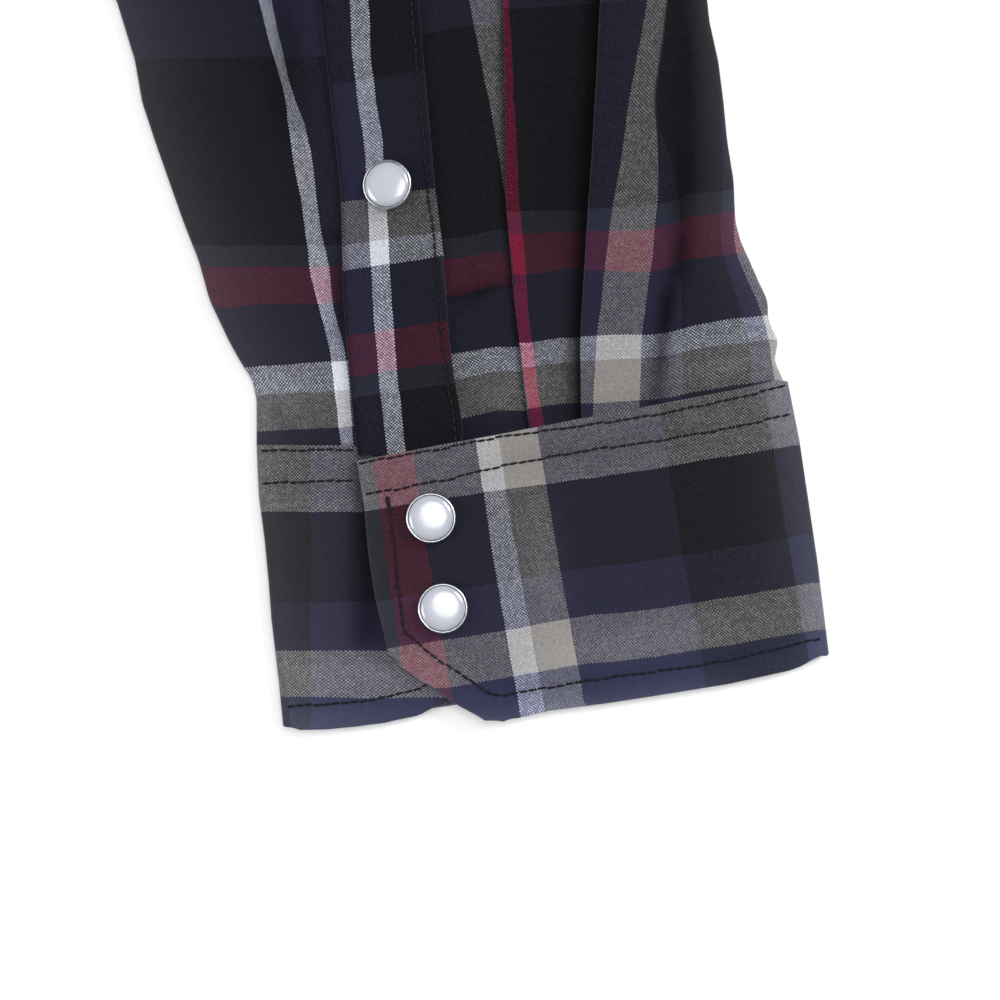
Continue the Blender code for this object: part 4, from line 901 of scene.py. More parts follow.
def near_rows():
    """The placket side from the cuff to a hand's width above it, row by row: x, y, z, warp and weft places
    and wear with painted light and shade.

    Across a row the cloth runs from the underarm edge over the lines of the table. At a pleat it turns
    under itself to the depth of half the hidden cloth and comes back one gap higher each time, and the
    cloth beyond stays two gaps higher until it is past the hidden part. Its height is the flat tube + a
    swell of 1 - (distance from the middle)^3 + the pleats' lifts + the folds."""
    row = np.concatenate([np.linspace(15.2, 36, 27), np.linspace(37.2, 117.6, 68)])[:, None]
    line, warp = {}, {name: 0 * row + place for name, place in STRIPE_WARP.items()}
    for name, knots in SLEEVE_LINES.items():
        at = row
        for _ in range(3):
            line[name] = eased(knots, at, 1.5 if name in ("inner", "outer") else 3.0)
            at = row + seam_drop(line[name], row)
        for end in ("", "_under", "_over"):
            if name + end in WARP_AT:
                warp[name + end] = eased(WARP_AT[name + end], at)
    inner, outer = line["inner"], line["outer"]
    warp["beige_right"] = warp["beige_right_under"]
    # Of each pleat: depth of the hidden cloth, gap between its layers, x at which the cloth beyond is down
    # again, half the fold that shows, and x up to which it stays raised
    deep = {name: (warp[name + "_over"] - warp[name + "_under"]) / 2 for name in PLEAT_GAPS}
    gap = {name: low + (high - low) * between((19, 90), row) for name, (low, high) in PLEAT_GAPS.items()}
    fall = {"pleat_1": line["pleat_2"] - line["pleat_1"] - 0.3, "pleat_2": deep["pleat_2"] + 13}
    pushed = {name: np.minimum(gap[name], FOLD_STEP) / 2 for name in PLEAT_GAPS}
    hold = {name: np.minimum(deep[name] + gap[name] + 0.6, fall[name] - 1.5) for name in PLEAT_GAPS}

    def height(x, y, lifted):
        """Height of the cloth, above the pleats named in lifted."""
        share = (x - inner) / (outer - inner)
        swell = (0.45 + 2.3 * between((19, 105), row)) * (1 - np.clip(np.abs(2 * share - 1), 0, 1) ** 3)
        z = FOREARM_FLAT + swell + folds(x, y, FOREARM_FOLDS)
        for name in lifted:
            past = (x - line[name] - hold[name]) / (fall[name] - hold[name])
            z = z + 2 * gap[name] * (1 - soft_step(past))
        return z

    def wear(x, y, end):
        """Lighter along the underarm edge and the outer edge, as painted edge light and wear, with the
        forearm's painted light and shade, and painted shade at the foot of the pleats.
        """
        faded = fading(x - inner, 0.85, 10.6) + fading(outer - x, 0.75, 6) + folds(x, y, FOREARM_SHADING)
        if end in PLEAT_FOOT_SHADE:
            faded = faded + ditch(x, line[end], *PLEAT_FOOT_SHADE[end])
        return np.maximum(faded, DARKEST_SHADE)

    def panel(start, end, shares, lifted, bands):
        """Cloth from line to line."""
        first_x = line[start] + pushed.get(start, 0)
        x = first_x + (line[end] - first_x) * shares
        y = row + seam_drop(x, row)
        if end == "outer":
            u = spread(x, [line[start], line[start] + 0.35, line["light"]],
                       [warp["beige_right_under"], warp["beige_right_over"] + 0.35, LIGHT_WARP])
        else:
            first, last = (warp.get(name, warp.get(name + tail))
                           for name, tail in ((start, "_over"), (end, "_under")))
            u = first + (last - first) * shares
        u = np.broadcast_to(u, x.shape)
        return np.stack([x, y, height(x, y, lifted), u, weft_place(x, y, bands), wear(x, y, end)], axis=-1)

    def pleat(name, lifted):
        """Hidden cloth of a pleat."""
        fold, step = line[name], gap[name]
        into, out, up, share = PLEAT_STEPS.T
        out = out + np.where(out < 0, 0.5, 0)
        x = fold + deep[name] * into + step * out * np.minimum(1, FOLD_STEP / step)
        y = row + seam_drop(x, row)
        z = height(np.maximum(x, fold), y, lifted) + step * up
        under, over = warp[name + "_under"], warp[name + "_over"]
        first = weft_place(x, y, BANDS_LEFT if name == "pleat_1" else BANDS_RIGHT)
        v = first * (1 - share) + weft_place(x, y, BANDS_RIGHT) * share
        # Painted shade on the pleat's hidden cloth, and painted light on the round of the fold that shows
        fold_shading = np.where(up > 1, 0.25, -0.6) + 0 * x
        return np.stack([x, y, z, under + (over - under) * share, v, fold_shading], axis=-1)

    # Shares from the underarm edge to the white stripe and from the beige stripe to the outer edge, finer
    # where the edges round off
    from_inner = EDGE_STEPS / (line["white_left"] - inner)
    from_inner = np.concatenate([from_inner, from_inner[:, -1:] + (1 - from_inner[:, -1:])
                                 * np.linspace(0, 1, 24)[1:-1]], axis=1)
    to_outer = 1 - EDGE_STEPS[::-1] / (outer - line["beige_right"])
    to_outer = np.concatenate([to_outer[:, :1] * np.linspace(0, 1, 22)[:-1], to_outer], axis=1)
    parts = [
        panel("inner", "white_left", from_inner, (), BANDS_LEFT),
        panel("white_left", "white_right", np.linspace(0, 1, 5)[:-1], (), BANDS_LEFT),
        panel("white_right", "placket_in", np.linspace(0, 1, 8)[:-1], (), BANDS_LEFT),
        panel("placket_in", "placket_out", np.linspace(0, 1, 13)[:-1], (), BANDS_LEFT),
        panel("placket_out", "pleat_1", np.linspace(0, 1, 22), (), BANDS_LEFT),
        pleat("pleat_1", ()),
        panel("pleat_1", "pleat_2", np.linspace(0, 1, 24), ("pleat_1",), BANDS_RIGHT),
        pleat("pleat_2", ("pleat_1",)),
        panel("pleat_2", "beige_left", np.linspace(0, 1, 9)[:-1], ("pleat_2",), BANDS_RIGHT),
        panel("beige_left", "beige_right", np.linspace(0, 1, 13)[:-1], ("pleat_2",), BANDS_RIGHT),
        panel("beige_right", "outer", to_outer, ("pleat_2",), BANDS_RIGHT),
    ]
    hidden = np.concatenate([np.full(part.shape[1], len(part[0]) == len(PLEAT_STEPS)) for part in parts])
    rows = np.concatenate(parts, axis=1)
    rows[..., 2] -= SEAM_SINK * (1 - between(SINK_ROWS, row))
    return row[:, 0], rows, hidden


def edge_round(away, reach):
    """Share of the full height at a distance from a folded edge: a quarter round as wide as reach."""
    return np.sqrt(np.clip(1 - (1 - np.clip(away / reach, 0, 1)) ** 2, 0, 1))


def landing_line(top_outer):
    """Ends, on the inner and outer edge, of the line where the forearm leaves the upper arm's edge."""
    armpit = np.array([-ARMPIT[0], ARMPIT[1]], float)
    along = CREASE_INNER - armpit
    down = np.array([-along[1], along[0]]) / np.linalg.norm(along)
    start = armpit + down * LANDING
    edge = top_outer - CREASE_OUTER
    t = np.dot(start - CREASE_OUTER, down) / np.dot(edge, down)
    return CREASE_INNER + down * LANDING, CREASE_OUTER + t * edge


# Shares across the sleeve's other side, finer where its edges round off
FRONT_SHARES = np.concatenate([[0.0012, 0.005, 0.013], np.linspace(0.035, 0.965, 34),
                               [0.987, 0.995, 0.9988]])
EDGE_PULLS = np.array([(-6.0, 0.0), (-8.0, 0.0)])  # how the forearm's edges bow, at the underarm first
CREASE_OUTWARDS = (CREASE_INNER - CREASE_OUTER)[::-1] * (1, -1)
CREASE_OUTWARDS /= np.linalg.norm(CREASE_OUTWARDS)
SLEEVE_AXIS = np.array([-0.224, 0.9746])  # the way the warp runs above the hand, upwards
SLEEVE_ACROSS = np.array([0.9746, 0.224])
WARP_ORIGIN, WEFT_ORIGIN = 30.2, 65.1  # warp and weft place at the wrist point


def to_cloth(plan, unrolled, reflected):
    """Warp and weft place of a plan point of the sleeve above the hand, with what lies past the elbow
    crease laid out beyond it."""
    if reflected:
        plan = plan + 2 * ((CREASE_INNER - plan) @ CREASE_OUTWARDS)[:, None] * CREASE_OUTWARDS
    plan = plan + CREASE_OUTWARDS * unrolled - WRIST
    return np.stack([WARP_ORIGIN + plan @ SLEEVE_ACROSS, WEFT_ORIGIN - plan @ SLEEVE_AXIS], axis=1)


def far_stations(top, folded, opened):
    """Rings above the hand, as (ends or share up to the armhole, shares across, heights of both sides,
    flat tube, turn round the crease, length unrolled there, whether past it, how far unfolded)."""
    ends = [WRIST + top[k, :2] for k in (0, -1)]
    landing = landing_line(ends[1])
    chord = [b - a for a, b in zip(ends, landing)]
    flat, lifted = SLEEVE_FLAT, SLEEVE_FLAT + SEAM_GAP
    stations = []
    for t in np.linspace(0, 1, 37)[1:]:
        # Even spacing from the hand's end to the landing line, leaving along the sleeve's edges
        here = [a + c * t + pull * t * (1 - t) ** 2 for a, c, pull in zip(ends, chord, EDGE_PULLS)]
        left = 1 - t
        lift = lifted * (1 - soft_step(left))
        tube = flat + (FOREARM_FLAT - flat) * left
        unfold = between((0, 0.85), t)
        share = folded * (1 - unfold) + opened * unfold
        z = lift + tube + (top[:, 2] - FOREARM_FLAT) * (1 - between((0, 0.95), t))
        stations.append((here, share, z, lift, tube, 0, 0, False, between((0, 0.8), t)))
    crease = [CREASE_INNER, CREASE_OUTER]
    for t in np.linspace(0, 1, 6)[1:-1]:
        here = [a + (b - a) * t for a, b in zip(landing, crease)]
        stations.append((here, opened, lifted + flat, lifted, flat, 0, 0, False, 1))
    for turn in np.radians(np.linspace(180, 0, 13)):
        stations.append((crease, opened, 0, flat, flat, turn, CREASE_ROUND * (math.pi - turn), False, 1))
    for up in np.concatenate([np.linspace(1, 0.1, 42)[1:], np.linspace(0.1, 0, 6)[1:]]):
        bulge = np.interp(up, UPPER_STATIONS, UPPER_BULGE)
        stations.append((up, opened, 0, bulge, flat, 0, CREASE_ROUND * math.pi, True, 1))
    return stations


def ring_line(ends, shares, armhole):
    """Plan points across a ring: straight between its two ends, or for a share of the way up from the
    armhole to the crease, straight from each armhole point towards its own point of the crease."""
    if isinstance(ends, list):
        return ends[0] + (ends[1] - ends[0]) * shares[:, None]
    at = (1 - shares) * 100
    hole = np.stack([np.interp(at, np.arange(101), armhole[:, k]) for k in (0, 1)], axis=1)
    return hole * (1 - ends) + (CREASE_INNER + (CREASE_OUTER - CREASE_INNER) * shares[:, None]) * ends


def sleeve_surface():
    """The whole right sleeve as one tube of rings from the cuff to the armhole, and its fabric places.

    A ring runs along the placket side from the underarm edge to the outer edge, and back along the other
    side. Above the hand the rings go straight from station to station: up the forearm, which comes down
    from the upper arm with an even S, round the elbow crease in a half turn, and along the upper arm to
    the armhole. The pleats' hidden cloth comes out and lies flat on the way."""
    row, near, hidden = near_rows()
    top = near[-1]
    step = np.where(hidden[1:] | hidden[:-1], 0.3, np.abs(np.diff(top[:, 0])))
    opened = np.concatenate([[0], np.cumsum(step)])
    opened /= opened[-1]
    folded = (top[:, 0] - top[0, 0]) / (top[-1, 0] - top[0, 0])
    back = FRONT_SHARES[::-1]
    points, places = [], []
    # The rows of the hand, with the flat other side below them
    for low, across in zip(row, near):
        first, last = across[0], across[-1]
        wide = last[0] - first[0]
        sink = 1 - between(SINK_ROWS, low)
        middle = (FOREARM_FLAT / 2) * (1 - sink) + SUNK_MIDDLE * sink
        away = np.minimum(across[:, 0] - first[0], last[0] - across[:, 0])
        z = middle + (across[:, 2] - middle) * edge_round(away, EDGE_STEPS[-1])
        x = first[0] + wide * back
        y = np.interp(x, across[~hidden, 0], across[~hidden, 1])
        away = np.minimum(back, 1 - back) * wide
        z_back = middle + (SUNK_BACK * sink - middle) * edge_round(away, EDGE_STEPS[-1])
        points.append(np.concatenate([with_height(across[:, :2] + WRIST, z),
                                      with_height(np.stack([x, y], axis=1) + WRIST, z_back)]))
        u = last[3] + (last[3] - first[3]) * (1 - back)
        v = first[4] + (last[4] - first[4]) * back
        # The other side takes the painted edge light and wear of the placket side's edges
        w = (fading((1 - back) * wide, last[5], EDGE_SHADING_REACH)
             + fading(back * wide, first[5], EDGE_SHADING_REACH))
        seam = [[2 * last[3] - first[3], first[4], first[5]]]
        places.append(np.concatenate([across[:, 3:], np.stack([u, v, w], axis=1), seam]))
    # The rings above it, a the placket side and b the other one
    armhole = through(ARMHOLE, 101) * (-1, 1)
    towards = CREASE_INNER - armhole[-1]
    armhole = armhole + towards / np.linalg.norm(towards) * ARMHOLE_GAP
    for ends, share, z_a, z_b, flat, turn, unrolled, past, mix in far_stations(top, folded, opened):
        plan_a, plan_b = ring_line(ends, share, armhole), ring_line(ends, back, armhole)
        z_a, z_b = np.broadcast_to(z_a, share.shape), np.broadcast_to(z_b, back.shape)
        if past:
            crown = np.sin(math.pi * back)
            near_crease = between((1, 0.94), ends) * between((0, 0.05), ends)
            z_b = SLEEVE_FLAT + z_b * crown + folds(*plan_b.T, UPPER_FOLDS) * near_crease * np.sqrt(crown)
        else:
            from_crease = (CREASE_INNER - plan_a) @ CREASE_OUTWARDS
            z_a = z_a + folds(*(plan_a - WRIST).T, ELBOW_FOLDS) * between((0, -14), from_crease)
        wide = np.linalg.norm(plan_a[-1] - plan_a[0])
        middle = (z_a[0] + z_b[-1]) / 2
        z_a, z_b = (middle + (z - middle) * edge_round(np.minimum(s, 1 - s) * wide, flat / 2)
                    for z, s in ((z_a, share), (z_b, back)))
        cloth_a, cloth_b = to_cloth(plan_a, unrolled, past), to_cloth(plan_b, unrolled, past)
        if turn:
            plan_a, plan_b = (plan + CREASE_OUTWARDS * ((CREASE_Z - z) * math.sin(turn))[:, None]
                              for plan, z in ((plan_a, z_a), (plan_b, z_b)))
            z_a, z_b = (CREASE_Z - (CREASE_Z - z) * math.cos(turn) for z in (z_a, z_b))
        points.append(np.concatenate([with_height(plan_a, z_a), with_height(plan_b, z_b)]))
        run = np.linalg.norm(plan_a - (WRIST + top[:, :2]), axis=1)
        cloth_a = cloth_a * mix + np.stack([top[:, 3], top[:, 4] - run], axis=1) * (1 - mix)
        far_edge = 2 * cloth_a[-1, 0]
        mirror = np.stack([far_edge - np.interp(back, share[~hidden], cloth_a[~hidden, 0]),
                           np.interp(back, share[~hidden], cloth_a[~hidden, 1])], axis=1)
        cloth_b = mirror * (1 - mix) + np.stack([far_edge - cloth_b[:, 0], cloth_b[:, 1]], axis=1) * mix
        # Painted edge light and wear along both edges, taken over from the rows of the hand near it
        edge_shading = [fading(s * wide, EDGE_LIGHT_AND_WEAR, EDGE_SHADING_REACH)
                + fading((1 - s) * wide, EDGE_LIGHT_AND_WEAR, EDGE_SHADING_REACH) for s in (share, back)]
        near_shading = [top[:, 5], np.interp(back, share[~hidden], top[~hidden, 5]) * 0.5]
        edge_shading = [a * mix + b * (1 - mix) for a, b in zip(edge_shading, near_shading)]
        cloth_a, cloth_b = with_height(cloth_a, edge_shading[0]), with_height(cloth_b, edge_shading[1])
        seam = [[far_edge - cloth_a[0, 0], cloth_a[0, 1], cloth_a[0, 2]]]
        places.append(np.concatenate([cloth_a, cloth_b, seam]))
    return np.array(points), np.array(places), near.shape[1], hidden


SLEEVE, SLEEVE_FABRIC, PLACKET_SIDE_COUNT, PLEAT_HIDDEN = sleeve_surface()
STRIP_REACH = 125  # rings from the cuff to past the point of the sleeve placket
FOREARM_TOP = SLEEVE[:STRIP_REACH, :PLACKET_SIDE_COUNT][:, ~PLEAT_HIDDEN]


def build_sleeve(side, mirrored):
    """One sleeve, with two pleats at the cuff and the fold at the elbow."""
    build_cloth(f"sleeve_{side}", SLEEVE, SHIRTING, SLEEVE_FABRIC,
                tube=True, mirrored=mirrored)


# --- Sleeve placket

# Both edges beyond the sleeve's lines: at the cuff and at the point, the free edge first
STRIP_FOOT = [(-33.4, 7.8), (-33.9, 12)]
STRIP_FOOT_OUT = [(-9.4, 12.4)]
STRIP_TIP = [(-49.3, 135), (-44.6, 154.6)]
STRIP_TIP_OUT = [(-25.6, 137.4), (-43.4, 154.8)]
# Its white stripe as the sleeve's lines, and its bands as weft place and height
STRIP_WHITE = [(9.9, -26.1), (17.6, -27.1), (28.2, -28.2), (40, -29.2), (54.1, -30.1), (70.6, -30.8),
               (84.7, -31.8), (94.1, -33.4), (103.5, -34.4), (117.6, -35.1)]
STRIP_BANDS = [(72, 100), (43.5, 72.2), (33.8, 61.6), (28.2, 56), (14.5, 40.5), (5, 30.8), (0, 25.6)]
STRIP_ROWS, STRIP_COLUMNS = 132, 19
STRIP_EDGE_ROWS = 116  # rows below the point
STRIP_GAP = 0.2  # to the sleeve
STRIP_STITCH_INSET = 1.7
STRIP_SWELLS = [(-36, 66, -30, 20, 0.35, 5), (-22, 100, -24, 84, 0.3, 6), (-33, 90, -20, 62, -0.25, 5),
                (-20, 50, -17, 28, 0.25, 4)]


def strip_surface():
    """Top of the sleeve placket: rows from its cuff end to its point, straight across from its free edge
    to its stitched edge, one strip thickness above the sleeve, lower along the stitching."""
    y = np.linspace(15, 117.6, 70)
    left, right = (np.stack([eased(SLEEVE_LINES[name], y), y], axis=1)
                   for name in ("placket_in", "placket_out"))
    left = evenly(np.concatenate([STRIP_FOOT, left, STRIP_TIP]), STRIP_ROWS)
    right = evenly(np.concatenate([STRIP_FOOT_OUT, right + (0, 0.4), STRIP_TIP_OUT]), STRIP_ROWS)
    share = np.linspace(0, 1, STRIP_COLUMNS)
    plan = ruled(left, right, share)
    x, y = plan[..., 0], plan[..., 1]
    base = seated(FOREARM_TOP, plan.reshape(-1, 2) + WRIST)[:, 2].reshape(x.shape)
    wide = np.linalg.norm(right - left, axis=1)[:, None]
    from_right = (1 - share)[None] * wide
    z = base + STRIP_WALL + STRIP_GAP + folds(x, y, STRIP_SWELLS)
    z = z + ditch(from_right, STRIP_STITCH_INSET, 0.28, 0.7) + pucker(y, from_right, 0.1, 0.9, 2, 7, 4)
    warp = 4 - (x - eased(STRIP_WHITE, y)) * 0.95
    at = y - 0.15 * (x + 23.5)
    values, heights = np.array(STRIP_BANDS)[::-1].T
    weft = np.interp(at, heights, values) - np.maximum(heights[0] - at, 0) + np.maximum(at - heights[-1], 0)
    # Painted shade along the free edge, a little darker all over, and a lighter nick on the stitched edge
    nick = between((61, 57), y) * between((46, 52), y)
    shading_and_wear = -0.07 - fading(share * wide, 0.4, 0.9) + fading(from_right, 0.2, 0.9) * nick
    return with_height(plan + WRIST, z), np.stack([warp, weft, shading_and_wear], axis=-1)


STRIP, STRIP_FABRIC = strip_surface()


def build_strip(side, mirrored):
    """One sleeve placket and its stitching: up the stitched edge, round the point and across below it."""
    rows = np.arange(STRIP_EDGE_ROWS)
    columns = np.arange(STRIP_COLUMNS)[::-1]
    from_right = np.linalg.norm(STRIP[:, -1:, :2] - STRIP[..., :2], axis=2)[:, ::-1]
    inset = np.stack([np.interp(STRIP_STITCH_INSET, from_right[row], columns) for row in rows])
    whole = inset.astype(int)
    part = (inset - whole)[:, None]
    edge = STRIP[rows, whole] * (1 - part) + STRIP[rows, np.minimum(whole + 1, columns[0])] * part
    point = STRIP[-4, STRIP_COLUMNS // 2]
    far = STRIP[110:128, 2][::-1]
    across = STRIP[112, 2:17]
    stitched = [stitch_row(np.concatenate([edge[1:], [point], far])), stitch_row(across)]
    build_cloth(f"sleeve_placket_{side}", STRIP, STRIP_WALL, STRIP_FABRIC,
                rows=stitched, mirrored=mirrored)


# --- Cuff


def swells(x, y):
    """Heights of the cuff's low swells and dents, each a round bell."""
    return sum(height * np.exp(-((x - centre_x) ** 2 + (y - centre_y) ** 2) / reach**2)
               for centre_x, centre_y, height, reach in CUFF_SWELLS)


def cuff_surface():
    """Outer side of the cuff as one wrapped band, rows from its lower to its upper edge: the overlap from
    its mitred end, round the outer edge in a half turn, back along the underside, round the inner edge and
    up to the underlap. Its cloth dips along each stitch row, puckers beside it, and swells softly."""
    t = np.concatenate([[0], np.linspace(0.022, 0.978, CUFF_ROWS - 2), [1]])

    def column_line(line):
        """A line up the cuff, at the rows' shares of its length."""
        dense = evenly(line, CUFF_ROWS)
        spot = np.linspace(0, 1, CUFF_ROWS)
        return np.stack([np.interp(t, spot, dense[:, k]) for k in (0, 1)], axis=1)

    half = CUFF_LOW / 2
    left, right = column_line(CUFF_LAP_END), column_line(CUFF_OUTER_EDGE)
    lap = patch(evenly(CUFF_LAP_BOTTOM, LAP_COLUMNS), evenly(CUFF_LAP_TOP, LAP_COLUMNS), left, right, t)
    lap[..., 0] -= half * between((0.9, 1), np.linspace(0, 1, LAP_COLUMNS))
    x, y = lap[..., 0], lap[..., 1]
    step_x, step_y, lean = CUFF_STEP_LINE
    past_step = x - step_x - (step_y - y) * lean
    z = CUFF_LOW + (CUFF_HIGH - CUFF_LOW) * (1 - between((0, CUFF_STEP_WIDTH), past_step)) + swells(x, y)
    corner_x, corner_y = CUFF_LAP_TOP[0]
    down = (corner_y + CUFF_SLOPE * (x - corner_x) - y) * CUFF_COS
    # The lower stripes sag a little towards the middle
    warp = down + np.interp(x, *np.array(CUFF_BAND_SHIFT).T)
    warp = warp + 0.8 * np.exp(-(((x - 18) / 14) ** 2)) * between((25, 45), down)
    lines = []
    for top_x, top_y, low_x, low_y, _ in CUFF_CROSS:
        run = (y - top_y) / (low_y - top_y)
        lines.append(top_x + (low_x - top_x) * run - 0.3 * np.sin(math.pi * np.clip(run, 0, 1)))
    weft = spread(x, lines, [row[-1] for row in CUFF_CROSS])
    along = x * CUFF_COS + y * CUFF_SIN
    for line, depth, reach in CUFF_DITCHES:
        away = CUFF_COS * (y - np.interp(x, *np.array(line).T))
        waves = pucker(along, away, 0.17, 0.85, 1.7, 9, 2.4)
        z = z + ditch(away, 0, depth, reach) + waves * between((0, 6), down)
    from_end = edge_distance(lap, "left")
    z = z + ditch(from_end, END_STITCH_INSET, 0.3, 0.8) * between((8, 10), down)
    # Lighter all over and along the bottom, less so to the right, along the end and the outer edge, as
    # painted light and wear, with the cuff's painted light and shade
    shading_and_wear = (0.12 + fading(edge_distance(lap, "bottom"), 1 - 0.65 * between((42, 62), x), 3.8)
            + fading(from_end, 0.25, 2) + fading(edge_distance(lap, "right"), 0.75, 6)
            + folds(x, y, CUFF_SHADING))
    surface = [with_height(lap, z)]
    fabric = [np.stack([warp, weft, shading_and_wear], axis=-1)]

    def turn(edge, sign, cut):
        """A half round, down the outer edge (1) or up the inner one (-1), its cloth running on from the
        places in cut."""
        angles = np.radians(CUFF_TURN[::sign])
        for angle in angles:
            plan = edge + np.array([sign * half * (math.sin(angle) - 1), 0])
            surface.append(with_height(plan, half + half * math.cos(angle))[:, None])
            fabric.append((cut + (0, sign * half * (angle - angles[0] + 0.2), 0))[:, None])

    outer_cut = fabric[0][:, -1]
    turn(right, 1, outer_cut)
    inner_edge = column_line(CUFF_INNER_EDGE)
    # The round of the inner edge is lighter, as painted edge light and wear, dying out across the underside
    inner_cut = np.stack([UNDER_WARP_Y - inner_edge[:, 1], np.full(CUFF_ROWS, UNDER_WEFT - half),
                          np.full(CUFF_ROWS, 0.9)], axis=1)
    share = np.linspace(0, 1, 42)[1:-1]
    surface.append(with_height(ruled(right - (half, 0), inner_edge + (half, 0), share), CUFF_FLOOR))
    fabric.append(ruled(outer_cut + (0, math.pi * half, 0), inner_cut, share))
    fabric[-1][..., 2] *= np.abs(2 * share - 1) ** 8
    turn(inner_edge, -1, inner_cut)
    end = column_line([CUFF_UNDER_BOTTOM[-1], CUFF_UNDER_TOP[-1]])
    lap = patch(evenly(CUFF_UNDER_BOTTOM, UNDER_COLUMNS), evenly(CUFF_UNDER_TOP, UNDER_COLUMNS),
                inner_edge, end, t)
    lap[..., 0] += half * (1 - between((0, 0.15), np.linspace(0, 1, UNDER_COLUMNS)))
    x, y = lap[..., 0], lap[..., 1]
    down = UNDER_TOP_Y - y
    z = CUFF_LOW + 0.6 * swells(x, y)
    for place, depth in UNDER_DITCHES:
        z = z + ditch(down, place, depth, 0.8) + pucker(x, down - place, 0.12, 0.85, 1.7, 8, 2.2)
    # Lighter all over, along the inner edge and near the bottom, as painted light and wear; painted shade
    # at the top and in the overlap's shelter
    shading_and_wear = (0.18 + fading(edge_distance(lap, "left"), 0.65, 9)
            + fading(UNDER_DITCHES[-1][0] - down, 0.35, 5) - ditch(y, -41, 0.4, 4.5)
            - 0.16 * between((-3, 2), y)
            + ditch(x, -31.5, 0.75, 3.2) * between((-40, -30), y))
    surface.append(with_height(lap, z))
    weft = 234 - (x + 44.5) * np.where(x > -44.5, 0.75, 1)
    fabric.append(np.stack([UNDER_WARP_Y - y, weft, shading_and_wear], axis=-1))
    return np.concatenate(surface, axis=1) + (*WRIST, 0), np.concatenate(fabric, axis=1)


CUFF, CUFF_FABRIC = cuff_surface()


def cuff_row(points, surface):
    """A stitch row through points from the wrist point, on the cuff's cloth."""
    path = evenly(points, 160) + WRIST
    return stitch_row(seated(surface, path))


def build_cuff(side, mirrored):
    """One cuff with its stitching: two rows below the top edge, one along the end, mitre and bottom, and
    two short ones where it starts."""
    lap, under = CUFF[:, :LAP_COLUMNS], CUFF[:, -UNDER_COLUMNS:]
    rows = [cuff_row(line, lap) for line in (CUFF_ROW_TOP, CUFF_ROW_BELOW, CUFF_ROW_END, *CUFF_BACK_TACKS)]
    rows += [cuff_row(line, under) for line in UNDER_ROWS]
    build_cloth(f"cuff_{side}", CUFF, CUFF_WALL, CUFF_FABRIC,
                rows, finish=CUFF_PLAID, mirrored=mirrored)


# --- Body


def front_height(plan):
    """Underside of the fronts: a low swell that dies out at the side seams and below the yokes, and on it
    the folds."""
    x, y = plan[..., 0], plan[..., 1]
    across = np.clip(1 - (x / BULGE_HALF_WIDTH) ** 2, 0, 1)
    clear = between(FOLD_CLEAR, np.abs(x)) * (1 - between(SIDE_FADE, np.abs(x)))
    return FRONT_Z + BODY_BULGE * across * between(BULGE_TOP, y) + folds(x, y, BODY_FOLDS) * clear


def neck_curve(angles, front_drop, back_rise, half_width):
    """Points round the neck by angle: a deep half oval in front and a shallow one behind."""
    turns = np.radians(angles)
    depth = np.where(np.cos(turns) > 0, front_drop, back_rise)
    return np.stack([-half_width * np.sin(turns), -depth * np.cos(turns)], axis=1)


def neckline(angles):
    """Points on the neckline that the fronts, the back yoke and the collar stand share."""
    return neck_curve(angles, NECK_FRONT_DROP, NECK_BACK_RISE, NECK_HALF_WIDTH)


def hem_curve(start_x, end_x, middle_y, count):
    """The shirt tail: straight in the middle, then an S up to the side seam."""
    x = np.linspace(start_x, end_x, count)
    rise = soft_step((np.abs(x) - HEM_FLAT_HALF) / (SIDE_SEAM[-1][0] - HEM_FLAT_HALF))
    return np.stack([x, middle_y + (HEM_SIDE_Y - middle_y) * rise], axis=1)


def armhole_parts(yoke_share, above, below):
    """The armhole from the shoulder down, cut where the yoke seam meets it."""
    whole = through(ARMHOLE, 101)
    cut = round(yoke_share * 100)
    return evenly(whole[: cut + 1], above), evenly(whole[cut:], below)


def straight_grain(plan):
    """Warp and weft place of cloth cut with its warp up the body."""
    return np.stack([plan[..., 0] + 38, -plan[..., 1]], axis=-1)


def bias_grain(plan):
    """Warp and weft place of cloth cut at 45 degrees, as yokes are."""
    x, y = plan[..., 0], plan[..., 1]
    return np.stack([(x - y) * 0.7071 + 20, (-x - y) * 0.7071 + 60], axis=-1)


